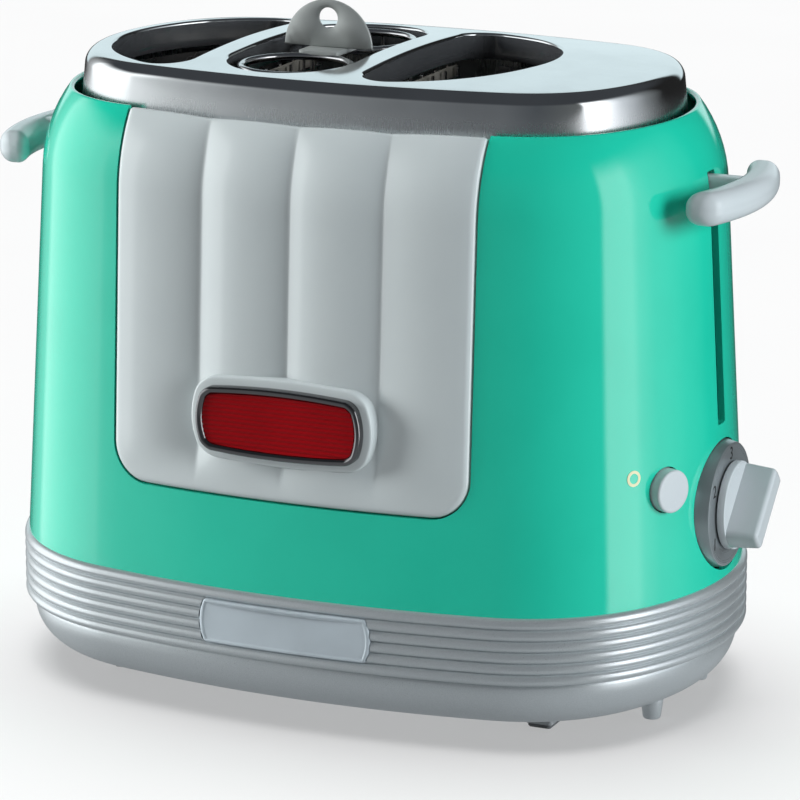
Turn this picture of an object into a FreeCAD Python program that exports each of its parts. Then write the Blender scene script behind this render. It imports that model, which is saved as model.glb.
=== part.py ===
"""Hot dog toaster: two bun chambers, a lift-out sausage basket, carriage, controls.

Millimetres, +Z up.  The origin is the centre of the footprint on the worktop, X runs
along the length with the controls at +X, and the fluted front panel faces -Y.
"""
import FreeCAD, Part
import math
import os
import Sketcher

V = FreeCAD.Vector
UP = V(0, 0, 1)

# Driving dimensions, written once.  Every other length follows from these.
SIZES = {
    # plan outline of the housing at the foot of the coloured shell
    "body_length": 280, "body_width": 184,
    "front_radius": 414, "corner_radius": 71, "end_radius": 101,
    # base
    "foot_height": 7, "pan_top": 26, "pan_step": 1.6, "pan_bend": 17, "pan_wall": 2.5,
    "rib_pitch": 4.2, "rib_count": 5, "rib_proud": 1.8, "rib_radius": 2.2, "top_rib_height": 5.5,
    "rib_shoulder": 2.2,
    "ring_wall": 5, "ledge_reach": 6, "ledge_top": 46.5, "ledge_thickness": 2.5,
    "foot_length": 11, "foot_width": 14, "foot_inset_x": 54, "foot_inset_y": 47, "pad_thickness": 1.5,
    "peg_inset": 19.5, "peg_y": 25, "peg_top": 9.5, "peg_tip": 6.5, "peg_root": 14,
    # shell
    "shell_lap": 3, "shell_wall": 2.5, "wall_lean": 8.1, "shoulder_start": 194,
    "shoulder_radius": 53, "lip_height": 222.8, "seam": 0.3,
    # front panel and badge
    "panel_width": 143, "panel_bottom": 86, "panel_corner": 15, "flute_depth": 3.2,
    "clip_reach": 5, "clip_height": 14, "clip_low": 110, "clip_high": 172,
    "badge_height": 115.8, "badge_width": 66, "badge_tall": 26.4, "badge_bow": 1.5,
    "badge_bulge": 3, "badge_rim": 2.4, "badge_depth": 3.6, "badge_margin": 3.2,
    "badge_stand": 1.6, "lens_depth": 2,
    "plate_width": 65, "plate_thickness": 3, "plate_bulge": 2,
    # top cover and openings
    "cover_rise": 14.2, "cover_wall": 1.2, "cover_inset": 23, "cover_lean": 1.7, "cover_bend": 5.5,
    "cover_flat": 2,
    "flange_drop": 9.8, "flange_inset": 21.2, "flange_reach": 3.5, "collar_depth": 9,
    "collar_wall": 1, "rim_round": 1.1,
    "middle_x": -22, "sausage_radius": 24.5, "sausage_margin": 37, "strip_width": 10.5,
    "bun_margin_left": 38.5, "bun_margin_right": 37.5, "bun_reach_right": 68, "bun_end_margin": 34,
    "bun_corner": 11,
    # chassis
    "sheet": 1.2, "floor_gap": 0.6, "left_plate_inset": 27.5, "right_plate_gap": 3,
    "left_plate_margin": 54, "right_plate_margin": 37, "shield_margin": 30, "shield_end_gap": 10,
    "shield_drop": 25, "foot_flange": 8,
    "liner_gap": 1, "liner_sheet": 0.8, "liner_drop": 12, "crumb_inset": 2,
    "guard_wire": 1.2, "guard_pitch": 12, "guard_count": 4, "guard_spread": 2.3,
    "guard_low": 50, "guard_drop": 4,
    "board_sheet": 0.6, "board_margin": 80, "winding_wire": 0.4, "winding_pitch": 9,
    "winding_count": 16, "winding_start": 64, "winding_tape": 1.4,
    "slot_half": 3, "rail_slot_under": 5, "rail_slot_over": 5,
    # carriage
    "rest_drop": 93, "travel": 80, "rail_height": 6, "carriage_sheet": 2,
    "lever_drop": 26.8, "arm_height": 10, "slot_width": 7.5, "slot_under": 7, "slot_over": 7.5,
    "upright_width": 8, "upright_gap": 3, "platform_gap": 2.5, "platform_sheet": 1.2,
    "paddle_set": 1, "paddle_depth": 13, "paddle_width": 72, "paddle_height": 12.5,
    "paddle_curve": 90, "paddle_round": 5.5, "paddle_skin": 3, "neck_width": 6.5, "neck_inset": 13,
    "block_height": 14, "block_width": 34, "block_depth": 10, "block_set": 2,
    "rod_radius": 2.5, "rod_set": 10,
    "rod_y": 12, "fit": 0.05, "spring_radius": 4.6, "spring_wire": 1, "spring_turns": 22,
    "magnet_gap": 0.5, "magnet_radius": 7, "armature_width": 12, "armature_thickness": 3,
    # sausage basket
    "ring_radius": 20.3, "ring_wire": 1.4, "hoop_drop": 1.6, "hoop_set": 3,
    "basket_sheet": 1.2, "basket_rod": 1, "tab_width": 36, "tab_rise": 18.8, "tab_sheet": 1.2,
    "tab_hole": 3.9, "tab_hole_drop": 6.9, "strap_width": 16, "strap_sheet": 1.6,
    # controls
    "dial_clear": 2, "dial_proud": 0.7, "dial_radius": 24.25, "dial_taper": 1.2,
    "dial_flange": 27.3, "dial_flange_inset": 11.5, "dial_flange_wall": 2, "dial_front": 5,
    "dial_bore": 5, "dial_skin": 2, "knob_radius": 16.5, "knob_flange": 3,
    "knob_gap": 0.5, "grip_reach": 11.7, "grip_width": 11, "grip_draft": 5,
    "grip_round": 1.8, "grip_angle": 45, "knob_shaft": 3, "knob_socket": 8,
    "timer_radius": 9, "timer_length": 12, "shaft_seat": 8,
    "pcb_inset": 40.6, "pcb_sheet": 1.6, "pcb_width": 84, "pcb_height": 50,
    "button_angle": 23, "button_height": 93, "button_radius": 8, "button_proud": 3.8,
    "button_depth": 8.2, "button_gap": 0.5, "button_round": 1,
    "stem_radius": 2.5, "stem_length": 9.2, "switch_radius": 7, "switch_gap": 3.7,
    "switch_depth": 10, "bracket_size": 7,
    # crumb tray, cable gland, screws
    "tray_width": 150, "tray_x": -22, "tray_level": 32, "tray_wall": 1, "tray_depth": 6,
    "tray_gap": 0.5, "tray_front_gap": 32, "tray_rear_gap": 20, "tray_tongue": 40,
    "tongue_gap": 3.5, "rail_width": 4,
    "door_ribs": 3, "gland_end_gap": 80, "gland_radius": 6, "gland_bore": 3.6, "gland_reach": 15,
    "gland_inset": 1.5,
    "gland_clamp": 12, "screw_radius": 2, "screw_head": 3.6, "screw_head_height": 2,
    "screw_inset_x": 37, "screw_inset_y": 56, "post_radius": 4.5,
}


class Dim:
    """A length that knows its number now and the formula that gives it."""

    def __init__(self, number, text):
        self.number = float(number)
        self.text = text

    @staticmethod
    def of(other):
        return other if isinstance(other, Dim) else Dim(other, repr(other))

    def _join(self, other, sign, number):
        return Dim(number, f"({self.text} {sign} {Dim.of(other).text})")

    def __add__(self, other):
        return self._join(other, "+", self.number + Dim.of(other).number)

    def __sub__(self, other):
        return self._join(other, "-", self.number - Dim.of(other).number)

    def __mul__(self, other):
        return self._join(other, "*", self.number * Dim.of(other).number)

    def __truediv__(self, other):
        return self._join(other, "/", self.number / Dim.of(other).number)

    def __radd__(self, other):
        return Dim.of(other) + self

    def __rsub__(self, other):
        return Dim.of(other) - self

    def __rmul__(self, other):
        return Dim.of(other) * self

    def __neg__(self):
        return Dim(-self.number, f"(-1 * {self.text})")

    def __float__(self):
        return self.number


class SizeNames:
    """The sheet's cells by name, as Dim values."""

    def __getattr__(self, name):
        return Dim(SIZES[name], "Sizes." + name)


S = SizeNames()


def root(value):
    return Dim(math.sqrt(value.number), f"sqrt({value.text})")


def cosine(degrees):
    return Dim(math.cos(math.radians(float(degrees))), f"cos({Dim.of(degrees).text})")


def sine(degrees):
    return Dim(math.sin(math.radians(float(degrees))), f"sin({Dim.of(degrees).text})")


doc = FreeCAD.newDocument("hot_dog_toaster")
sheet = doc.addObject("Spreadsheet::Sheet", "Sizes")
for row, (alias, number) in enumerate(SIZES.items(), start=1):
    sheet.set(f"A{row}", alias)
    sheet.set(f"B{row}", str(number))
    sheet.setAlias(f"B{row}", alias)
doc.recompute()

NODES = {}


def bind(thing, name, value):
    """Ties one property to a formula over the sheet."""
    thing.setExpression(name, Dim.of(value).text)


def place(thing, x=0, y=0, z=0):
    for axis, value in (("x", x), ("y", y), ("z", z)):
        if isinstance(value, Dim) or value:
            bind(thing, "Placement.Base." + axis, value)
    return thing


def node(name, thing):
    """Gives a finished piece its own name."""
    thing.Label = name
    NODES[name] = thing
    return thing


# ---- Part primitives -------------------------------------------------------------


def box(name, low, high):
    """A box from its lowest corner to its highest one."""
    thing = doc.addObject("Part::Box", name)
    for side, a, b in zip(("Length", "Width", "Height"), low, high):
        bind(thing, side, Dim.of(b) - a)
    return place(thing, *low)


def cylinder(name, radius, length, base, axis="z"):
    """A cylinder from its base centre along +X, +Y or +Z."""
    thing = doc.addObject("Part::Cylinder", name)
    bind(thing, "Radius", radius)
    bind(thing, "Height", length)
    turn = {"x": (V(0, 1, 0), 90), "y": (V(1, 0, 0), -90), "z": (UP, 0)}[axis]
    thing.Placement = FreeCAD.Placement(V(), FreeCAD.Rotation(*turn))
    return place(thing, *base)


def cut(name, base, tools):
    """The base less every tool."""
    thing = doc.addObject("Part::Cut", name)
    thing.Base = base
    thing.Tool = fuse(name + "_tools", tools) if len(tools) > 1 else tools[0]
    return thing


def fuse(name, shapes):
    thing = doc.addObject("Part::MultiFuse", name)
    thing.Shapes = shapes
    return thing


def common(name, shapes):
    thing = doc.addObject("Part::MultiCommon", name)
    thing.Shapes = shapes
    return thing


def group(name, shapes):
    """Separate solids that share one node."""
    thing = doc.addObject("Part::Compound", name)
    thing.Links = shapes
    return thing


# ---- sketches --------------------------------------------------------------------


def new_body(name):
    body = doc.addObject("PartDesign::Body", name)
    body.AllowCompound = True
    return body


def new_sketch(body, name, role="XY_Plane", lift=0):
    """A sketch on one of the body's origin planes, lifted along its normal."""
    sketch = body.newObject("Sketcher::SketchObject", name)
    plane = [f for f in body.Origin.OriginFeatures if f.Role == role][0]
    sketch.AttachmentSupport = [(plane, "")]
    sketch.MapMode = "FlatFace"
    if isinstance(lift, Dim) or lift:
        bind(sketch, "AttachmentOffset.Base.z", lift)
    return sketch


def rule(sketch, kind, *where, value=None):
    """Adds one constraint, with its formula where it has a value."""
    if value is None:
        return sketch.addConstraint(Sketcher.Constraint(kind, *where))
    number = math.radians(float(value)) if kind == "Angle" else float(value)
    index = sketch.addConstraint(Sketcher.Constraint(kind, *where, number))
    if isinstance(value, Dim):
        sketch.setExpression(f"Constraints[{index}]", value.text)
    return index


def pin(sketch, edge, end, x, y):
    """Fixes a point by its distances from the origin."""
    for kind, axis, value in (("DistanceX", -2, x), ("DistanceY", -1, y)):
        if isinstance(value, Dim) or value:
            rule(sketch, kind, -1, 1, edge, end, value=value)
        else:
            rule(sketch, "PointOnObject", edge, end, axis)


def arc_between(start, end, radius, turn):
    """An arc of a given radius, turning left (+1) or right (-1) from start to end."""
    a, b = (start, end) if turn > 0 else (end, start)
    half = (b - a) * 0.5
    rise = math.sqrt(max(radius * radius - half.Length ** 2, 0))
    side = V(-half.y, half.x, 0).normalize()
    centre = a + half + side * rise
    first = math.atan2(a.y - centre.y, a.x - centre.x)
    last = math.atan2(b.y - centre.y, b.x - centre.x)
    return Part.ArcOfCircle(Part.Circle(centre, UP, radius), first, last)


def outline(sketch, corners, bends=None):
    """A closed outline through the corners; bends maps an edge to (radius, turn)."""
    bends = bends or {}
    spots = [V(float(x), float(y), 0) for x, y in corners]
    first = sketch.GeometryCount
    count = len(spots)
    for i, start in enumerate(spots):
        end = spots[(i + 1) % count]
        if i in bends:
            radius, turn = bends[i]
            sketch.addGeometry(arc_between(start, end, float(radius), turn))
        else:
            sketch.addGeometry(Part.LineSegment(start, end))
    for i in range(count):
        after = (i + 1) % count
        tail = 1 if i in bends and bends[i][1] < 0 else 2
        head = 2 if after in bends and bends[after][1] < 0 else 1
        rule(sketch, "Coincident", first + i, tail, first + after, head)
    for i, (x, y) in enumerate(corners):
        head = 2 if i in bends and bends[i][1] < 0 else 1
        pin(sketch, first + i, head, x, y)
    for i, (radius, _) in bends.items():
        rule(sketch, "Radius", first + i, value=radius)
    return sketch


def rectangle(sketch, x0, y0, x1, y1):
    return outline(sketch, [(x0, y0), (x1, y0), (x1, y1), (x0, y1)])


def circle(sketch, x, y, radius):
    spot = V(float(x), float(y), 0)
    index = sketch.addGeometry(Part.Circle(spot, UP, float(radius)))
    pin(sketch, index, 3, x, y)
    rule(sketch, "Radius", index, value=radius)
    return sketch


def chain(sketch, first, count):
    """Joins neighbouring left-turning edges end to end, tangent."""
    for i in range(count):
        rule(sketch, "Tangent", first + i, 2, first + (i + 1) % count, 1)


def oval(sketch, inset=0):
    """The housing's outline, moved inwards by an even inset: eight tangent arcs."""
    half_length = S.body_length / 2
    end_x = half_length - S.end_radius
    front_y = S.front_radius - S.body_width / 2
    big, small, end = (S.front_radius - inset, S.corner_radius - inset, S.end_radius - inset)
    # the corner arc's centre is where two circles about the other two centres meet
    to_front = float(S.front_radius - S.corner_radius)
    to_end = float(S.end_radius - S.corner_radius)
    span = math.hypot(float(end_x), float(front_y))
    along = (to_front ** 2 - to_end ** 2 + span ** 2) / (2 * span)
    off = math.sqrt(to_front ** 2 - along ** 2)
    ux, uy = float(end_x) / span, -float(front_y) / span
    corner = V(along * ux - off * uy, float(front_y) + along * uy + off * ux, 0)
    end_turn = math.atan2(abs(corner.y), corner.x - float(end_x))
    front_turn = math.atan2(corner.x, float(front_y) + abs(corner.y))
    quarter = math.pi / 2
    cx, cy = corner.x, abs(corner.y)
    spans = [
        (float(end_x), 0, end, -end_turn, end_turn),
        (cx, cy, small, end_turn, quarter - front_turn),
        (0, -float(front_y), big, quarter - front_turn, quarter + front_turn),
        (-cx, cy, small, quarter + front_turn, math.pi - end_turn),
        (-float(end_x), 0, end, math.pi - end_turn, math.pi + end_turn),
        (-cx, -cy, small, math.pi + end_turn, 3 * quarter - front_turn),
        (0, float(front_y), big, 3 * quarter - front_turn, 3 * quarter + front_turn),
        (cx, -cy, small, 3 * quarter + front_turn, 4 * quarter - end_turn),
    ]
    first = sketch.GeometryCount
    for x, y, radius, start, stop in spans:
        sketch.addGeometry(Part.ArcOfCircle(Part.Circle(V(x, y, 0), UP, float(radius)), start, stop))
    chain(sketch, first, len(spans))
    for edge, x, y in ((0, end_x, 0), (4, -end_x, 0), (2, 0, -front_y), (6, 0, front_y)):
        pin(sketch, first + edge, 3, x, y)
    for edge, radius in ((0, end), (4, end), (2, big), (6, big), (1, small), (3, small),
                         (5, small), (7, small)):
        rule(sketch, "Radius", first + edge, value=radius)
    return sketch


# ---- PartDesign features ---------------------------------------------------------


def pad(body, sketch, length, reverse=False, middle=False):
    feature = body.newObject("PartDesign::Pad", sketch.Name + "_pad")
    feature.Profile = sketch
    bind(feature, "Length", length)
    feature.Reversed = reverse
    feature.Midplane = middle
    sketch.Visibility = False
    doc.recompute()
    return feature


def pocket(body, sketch, length=None, reverse=False, middle=False):
    """Cuts the sketch away, through everything where no length is given."""
    before = body.Shape.Volume
    feature = body.newObject("PartDesign::Pocket", sketch.Name + "_pocket")
    feature.Profile = sketch
    feature.Reversed = reverse
    feature.Midplane = middle
    if length is None:
        feature.Type = "ThroughAll"
    else:
        bind(feature, "Length", length)
    doc.recompute()
    if not body.Shape.Volume < before - 1e-6:
        raise RuntimeError(f"{feature.Name} cuts nothing")
    return feature


def sweep(body, section, spine):
    """A closed ring: the section carried round the spine."""
    feature = body.newObject("PartDesign::AdditivePipe", body.Name + "_ring")
    feature.Profile = section
    feature.Spine = (spine, [])
    feature.Mode = "Standard"
    doc.recompute()
    return feature


def swept_oval(name, corners, bends=None):
    """A body that carries an XZ section, drawn at the +X end, round the housing's oval."""
    body = new_body(name)
    spine = oval(new_sketch(body, name + "_path"))
    section = outline(new_sketch(body, name + "_section", "XZ_Plane"), corners, bends)
    doc.recompute()
    sweep(body, section, spine)
    return body


def fillet(body, radius, chosen):
    """Rounds the edges of the body's last feature that chosen picks."""
    base = body.Tip
    names = [f"Edge{i}" for i, edge in enumerate(base.Shape.Edges, start=1) if chosen(edge)]
    feature = body.newObject("PartDesign::Fillet", base.Name + "_fillet")
    feature.Base = (base, names)
    bind(feature, "Radius", radius)
    doc.recompute()
    return feature


def d_loop(sketch, side, grow=0):
    """The D of a bun opening on one side (+1 right, -1 left), grown evenly outwards."""
    reach = S.bun_reach_right if side > 0 else -BUN_REACH_LEFT
    radius = bun_radius(side)
    centre = reach - radius * side
    flat = bun_flat(side) - Dim.of(grow) * side
    big = radius + grow
    small = S.bun_corner + grow
    corner = flat + small * side
    across = float(corner) - float(centre)
    high = math.sqrt(float(big - small) ** 2 - across ** 2)
    turn = math.atan2(high, across)
    first = sketch.GeometryCount
    pairs = (
        (float(centre), 0, big, -turn if side > 0 else turn, turn if side > 0 else 2 * math.pi - turn),
        (float(corner), high, small, turn, math.pi) if side > 0
        else (float(corner), -high, small, 2 * math.pi - turn, 2 * math.pi),
    )
    low = (
        (float(corner), -high, small, math.pi, 2 * math.pi - turn) if side > 0
        else (float(corner), high, small, 0, turn)
    )
    for x, y, radius, start, stop in pairs:
        sketch.addGeometry(Part.ArcOfCircle(Part.Circle(V(x, y, 0), UP, float(radius)), start, stop))
    top = V(float(flat), high if side > 0 else -high, 0)
    sketch.addGeometry(Part.LineSegment(top, V(top.x, -top.y, 0)))
    x, y, radius, start, stop = low
    sketch.addGeometry(Part.ArcOfCircle(Part.Circle(V(x, y, 0), UP, float(radius)), start, stop))
    chain(sketch, first, 4)
    pin(sketch, first, 3, centre, 0)
    rule(sketch, "Radius", first, value=big)
    for edge in (1, 3):
        rule(sketch, "Radius", first + edge, value=small)
    rule(sketch, "Vertical", first + 2)
    rule(sketch, "DistanceX", -1, 1, first + 2, 1, value=flat)
    return sketch


def bun_radius(side):
    """The D's radius, from its depth, its corners and its room to the cover's edge."""
    reach, margin = ((S.bun_reach_right, S.bun_margin_right) if side > 0
                     else (BUN_REACH_LEFT, S.bun_margin_left))
    depth = reach - bun_flat(side) * side
    high = HALF_WIDTH - margin - S.bun_corner
    return (depth * depth - depth * S.bun_corner * 2 + high * high) / (depth * 2 - S.bun_corner * 4)


def bun_flat(side):
    """X of a bun opening's flat side, one strip away from the sausage opening."""
    return S.middle_x + (S.sausage_radius + S.strip_width) * side


def stadium(sketch, grow=0, pitch=None):
    """The sausage opening: two round ends on one straight waist, along Y."""
    radius = S.sausage_radius + grow
    half = (pitch or SAUSAGE_PITCH) / 2
    x, r, y = float(S.middle_x), float(radius), float(half)
    first = sketch.GeometryCount
    sketch.addGeometry(Part.LineSegment(V(x + r, -y, 0), V(x + r, y, 0)))
    sketch.addGeometry(Part.ArcOfCircle(Part.Circle(V(x, y, 0), UP, r), 0, math.pi))
    sketch.addGeometry(Part.LineSegment(V(x - r, y, 0), V(x - r, -y, 0)))
    sketch.addGeometry(Part.ArcOfCircle(Part.Circle(V(x, -y, 0), UP, r), math.pi, 2 * math.pi))
    chain(sketch, first, 4)
    pin(sketch, first + 1, 3, S.middle_x, half)
    pin(sketch, first + 3, 3, S.middle_x, -half)
    rule(sketch, "Radius", first + 1, value=radius)
    return sketch


def at_level(level, low=0.01):
    """Picks the edges that lie at one height."""
    height = float(level)

    def chosen(edge):
        box_ = edge.BoundBox
        return abs(box_.ZMin - height) < low and abs(box_.ZMax - height) < low
    return chosen


# ---- levels and lines that several pieces share -----------------------------------

HALF_LENGTH = S.body_length / 2
HALF_WIDTH = S.body_width / 2
RIBS_TOP = S.pan_top + S.rib_pitch * S.rib_count
RING_TOP = RIBS_TOP + S.top_rib_height
SHELL_LOW = RING_TOP - S.shell_lap
CREST = HALF_LENGTH + S.rib_proud
RIB_DEPTH = S.rib_radius - root(S.rib_radius * S.rib_radius - S.rib_pitch * S.rib_pitch / 4)
RING_INNER = CREST - RIB_DEPTH - S.ring_wall
FLOOR_TOP = S.ledge_top + S.sheet
LEAN_RISE = S.shoulder_start - RING_TOP
LEAN_RUN = root(LEAN_RISE * LEAN_RISE + S.wall_lean * S.wall_lean)
LEAN_COS = LEAN_RISE / LEAN_RUN
LEAN_SIN = S.wall_lean / LEAN_RUN
FRONT_CENTRE = S.front_radius - HALF_WIDTH

# places that keep their clearance from the outline, the lip or each other
SAUSAGE_PITCH = (HALF_WIDTH - S.sausage_margin - S.sausage_radius) * 2
HOOP_PITCH = SAUSAGE_PITCH - S.hoop_set
BOARD_WIDTH = S.body_width - S.board_margin
SHIELD_Y = HALF_WIDTH - S.shield_margin
TRAY_FRONT = HALF_WIDTH - S.tray_front_gap
TRAY_REAR = HALF_WIDTH - S.tray_rear_gap
TONGUE_END = HALF_WIDTH - S.tongue_gap
GLAND_INNER = HALF_WIDTH - S.gland_reach
GLAND_NUT = HALF_WIDTH - S.gland_clamp
GLAND_OUTER = HALF_WIDTH - S.gland_inset
RIGHT_PLATE = (HALF_WIDTH - S.right_plate_margin) * 2
LEFT_PLATE = (HALF_WIDTH - S.left_plate_margin) * 2
FOOT_Y = HALF_WIDTH - S.foot_inset_y
FOOT_X = HALF_LENGTH - S.foot_inset_x
SCREW_Y = HALF_WIDTH - S.screw_inset_y
SCREW_X = HALF_LENGTH - S.screw_inset_x
PEG_X = HALF_LENGTH - S.peg_inset
DIAL_HEIGHT = RING_TOP + S.dial_radius + S.dial_clear
BUN_REACH_LEFT = HALF_LENGTH - S.bun_end_margin
CHASSIS_LEFT = HALF_LENGTH - S.left_plate_inset
CHASSIS_RIGHT = S.bun_reach_right + S.right_plate_gap
SHIELD_LEFT = BUN_REACH_LEFT - S.shield_end_gap
PCB_X = HALF_LENGTH - S.pcb_inset
RING_FACE = HALF_LENGTH + S.dial_proud
FLANGE_X = HALF_LENGTH - S.dial_flange_inset
PADDLE_INNER = HALF_LENGTH - S.paddle_set
NECK_ROOT = HALF_LENGTH - S.neck_inset
GLAND_X = HALF_LENGTH - S.gland_end_gap
COVER_TOP = S.lip_height + S.cover_rise
FLANGE_HEIGHT = S.lip_height - S.flange_drop
LINER_TOP = COVER_TOP - S.liner_drop
GUARD_HIGH = LINER_TOP - S.guard_drop
RING_LEVEL = COVER_TOP - S.hoop_drop
TAB_TOP = COVER_TOP + S.tab_rise
SHIELD_TOP = LINER_TOP - S.shield_drop
LEVER_HEIGHT = S.lip_height - S.lever_drop
SLOT_TOP = LEVER_HEIGHT + S.slot_over
SLOT_BOTTOM = LEVER_HEIGHT - S.travel - S.slot_under
BLOCK_TOP = LEVER_HEIGHT + S.block_set
ROD_TOP = LEVER_HEIGHT + S.rod_set
REST_LEVEL = COVER_TOP - S.rest_drop
RAIL_SLOT_HIGH = REST_LEVEL + S.rail_slot_over
RAIL_SLOT_LOW = REST_LEVEL - S.rail_height - S.travel - S.rail_slot_under

COVER_UNDER = COVER_TOP - S.cover_wall
RAIL_LOW = REST_LEVEL - S.rail_height


def wall_inset(height):
    """How far the leaning wall stands inside the outline at a height."""
    return (height - RING_TOP) * S.wall_lean / LEAN_RISE


def shoulder_inset(height, skin=0):
    """The inset of the shoulder's arc at a height, for a face skin deep in the wall."""
    rise = height - S.shoulder_start + S.shoulder_radius * LEAN_SIN
    radius = S.shoulder_radius - skin
    return S.wall_lean + S.shoulder_radius * LEAN_COS - root(radius * radius - rise * rise)


# ---- housing ----------------------------------------------------------------------


def ring_profile():
    """The ribbed ring with its seat for the shell and its ledge for the chassis floor."""
    roll = CREST - HALF_LENGTH - S.seam
    corners = [(CREST - RIB_DEPTH, S.pan_top)]
    for k in range(1, SIZES["rib_count"] + 1):
        corners.append((CREST - RIB_DEPTH, S.pan_top + S.rib_pitch * k))
    bends = {k: (S.rib_radius, 1) for k in range(SIZES["rib_count"] + 1)}
    bends[SIZES["rib_count"] + 2] = (
        (roll * roll + S.rib_shoulder * S.rib_shoulder) / (roll * 2), 1)
    corners += [
        (CREST, RIBS_TOP + S.rib_pitch / 2),
        (CREST, RING_TOP - S.rib_shoulder),
        (HALF_LENGTH + S.seam, RING_TOP),
        (HALF_LENGTH + S.seam, SHELL_LOW),
        (RING_INNER, SHELL_LOW),
        (RING_INNER, S.ledge_top),
        (RING_INNER - S.ledge_reach, S.ledge_top),
        (RING_INNER - S.ledge_reach, S.ledge_top - S.ledge_thickness),
        (RING_INNER, S.ledge_top - S.ledge_thickness),
        (RING_INNER, S.pan_top),
    ]
    return corners, bends


PLATE_LOW = S.pan_top + S.rib_pitch
PLATE_HIGH = RIBS_TOP
PLATE_FACE = HALF_WIDTH + S.rib_proud


def plate_outline(sketch, grow=0):
    """The nameplate's face: straight top and bottom, gently bulging ends."""
    half = S.plate_width / 2 + grow
    tall = (PLATE_HIGH - PLATE_LOW) / 2 + grow
    bulge = (tall * tall + S.plate_bulge * S.plate_bulge) / (S.plate_bulge * 2)
    low, high = PLATE_LOW - grow, PLATE_HIGH + grow
    inner = half - S.plate_bulge
    return outline(sketch, [(-inner, low), (inner, low), (inner, high), (-inner, high)],
                   {1: (bulge, 1), 3: (bulge, 1)})


def tray_door(name, gap):
    """The block of rear ring that comes away with the crumb tray."""
    half = S.tray_width / 2 + gap
    high = PLATE_LOW + S.rib_pitch * S.door_ribs
    return box(name, (S.tray_x - half, 0, PLATE_LOW - gap),
               (S.tray_x + half, S.body_width, high + gap))


def make_base_ring():
    corners, bends = ring_profile()
    body = swept_oval("ring_blank", corners, bends)
    seat = plate_outline(new_sketch(body, "plate_seat", "XZ_Plane", PLATE_FACE - S.plate_thickness),
                         S.seam)
    pocket(body, seat, S.body_width, reverse=True)
    door = tray_door("door_gap", S.tray_gap)
    node("base_ring", cut("base_ring_solid", body, [door]))
    door_block = tray_door("door_block", Dim.of(0))
    node("crumb_tray_handle", common("tray_handle_solid", [handle_blank(), door_block]))


def handle_blank():
    """A second ring, without the nameplate's seat, for the crumb tray's handle."""
    corners, bends = ring_profile()
    return swept_oval("handle_ring", corners, bends)


def make_nameplate():
    body = new_body("nameplate_body")
    face = plate_outline(new_sketch(body, "nameplate_face", "XZ_Plane", PLATE_FACE))
    pad(body, face, S.plate_thickness, reverse=True)
    node("nameplate", body)


def make_base_pan():
    top = HALF_LENGTH - S.pan_step
    low_edge = S.foot_height + S.pan_bend
    inner_bend = S.pan_bend - S.pan_wall
    body = swept_oval("base_pan_body", [
        (top, low_edge), (top, S.pan_top), (top - S.pan_wall * 2, S.pan_top),
        (top - S.pan_wall * 2, S.pan_top - S.pan_wall), (top - S.pan_wall, S.pan_top - S.pan_wall),
        (top - S.pan_wall, low_edge), (top - S.pan_bend, S.foot_height + S.pan_wall),
        (top - S.pan_bend - S.pan_wall, S.foot_height + S.pan_wall),
        (top - S.pan_bend - S.pan_wall, S.foot_height), (top - S.pan_bend, S.foot_height),
    ], {5: (inner_bend, -1), 9: (S.pan_bend, 1)})
    sole = oval(new_sketch(body, "pan_sole", lift=S.foot_height),
                S.pan_step + S.pan_bend + S.pan_wall / 2)
    pad(body, sole, S.pan_wall)
    rails = new_sketch(body, "tray_rails", lift=S.foot_height + S.pan_wall / 2)
    for side in (-1, 1):
        x = S.tray_x + (S.tray_width / 2 - S.rail_width) * side
        rectangle(rails, x - S.rail_width / 2, -TRAY_FRONT, x + S.rail_width / 2, TRAY_FRONT)
    pad(body, rails, S.tray_level - S.foot_height - S.pan_wall / 2)
    posts = new_sketch(body, "screw_posts", lift=S.foot_height + S.pan_wall / 2)
    holes = new_sketch(body, "pan_holes")
    for x, y in screw_spots():
        circle(posts, x, y, S.post_radius)
        circle(holes, x, y, S.screw_radius + S.seam)
    pad(body, posts, S.ledge_top - S.foot_height - S.pan_wall / 2)
    pocket(body, holes, S.body_width, reverse=True)
    node("base_pan", fuse("base_pan_solid", [body] + make_pegs()))


def screw_spots():
    return [(SCREW_X * sx, SCREW_Y * sy) for sx in (-1, 1) for sy in (-1, 1)]


def make_pegs():
    """Tapered pegs under the ends of the pan that stop it rocking."""
    pegs = []
    for sx in (-1, 1):
        for sy in (-1, 1):
            peg = doc.addObject("Part::Cone", "steady_peg")
            bind(peg, "Radius1", S.peg_tip / 2)
            bind(peg, "Radius2", S.peg_top / 2)
            bind(peg, "Height", S.peg_root)
            pegs.append(place(peg, PEG_X * sx, S.peg_y * sy, S.pad_thickness / 2))
    return pegs


def make_base_screws():
    screws = []
    for x, y in screw_spots():
        shank = cylinder("screw_shank", S.screw_radius, FLOOR_TOP - S.foot_height,
                         (x, y, S.foot_height))
        head = cylinder("screw_head", S.screw_head, S.screw_head_height,
                        (x, y, S.foot_height - S.screw_head_height))
        screws.append(fuse("base_screw", [shank, head]))
    node("base_screws", group("base_screw_group", screws))


def make_feet():
    feet, pads = [], []
    inset = S.pad_thickness / 2
    for sx in (-1, 1):
        for sy in (-1, 1):
            x, y = FOOT_X * sx, FOOT_Y * sy
            low = (x - S.foot_length / 2, y - S.foot_width / 2, S.pad_thickness)
            high = (x + S.foot_length / 2, y + S.foot_width / 2, S.foot_height)
            feet.append(box("foot", low, high))
            pads.append(box("foot_pad", (low[0] + inset, low[1] + inset, 0),
                            (high[0] - inset, high[1] - inset, S.pad_thickness)))
    node("feet", group("feet_group", feet))
    node("foot_pads", group("foot_pad_group", pads))


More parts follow.
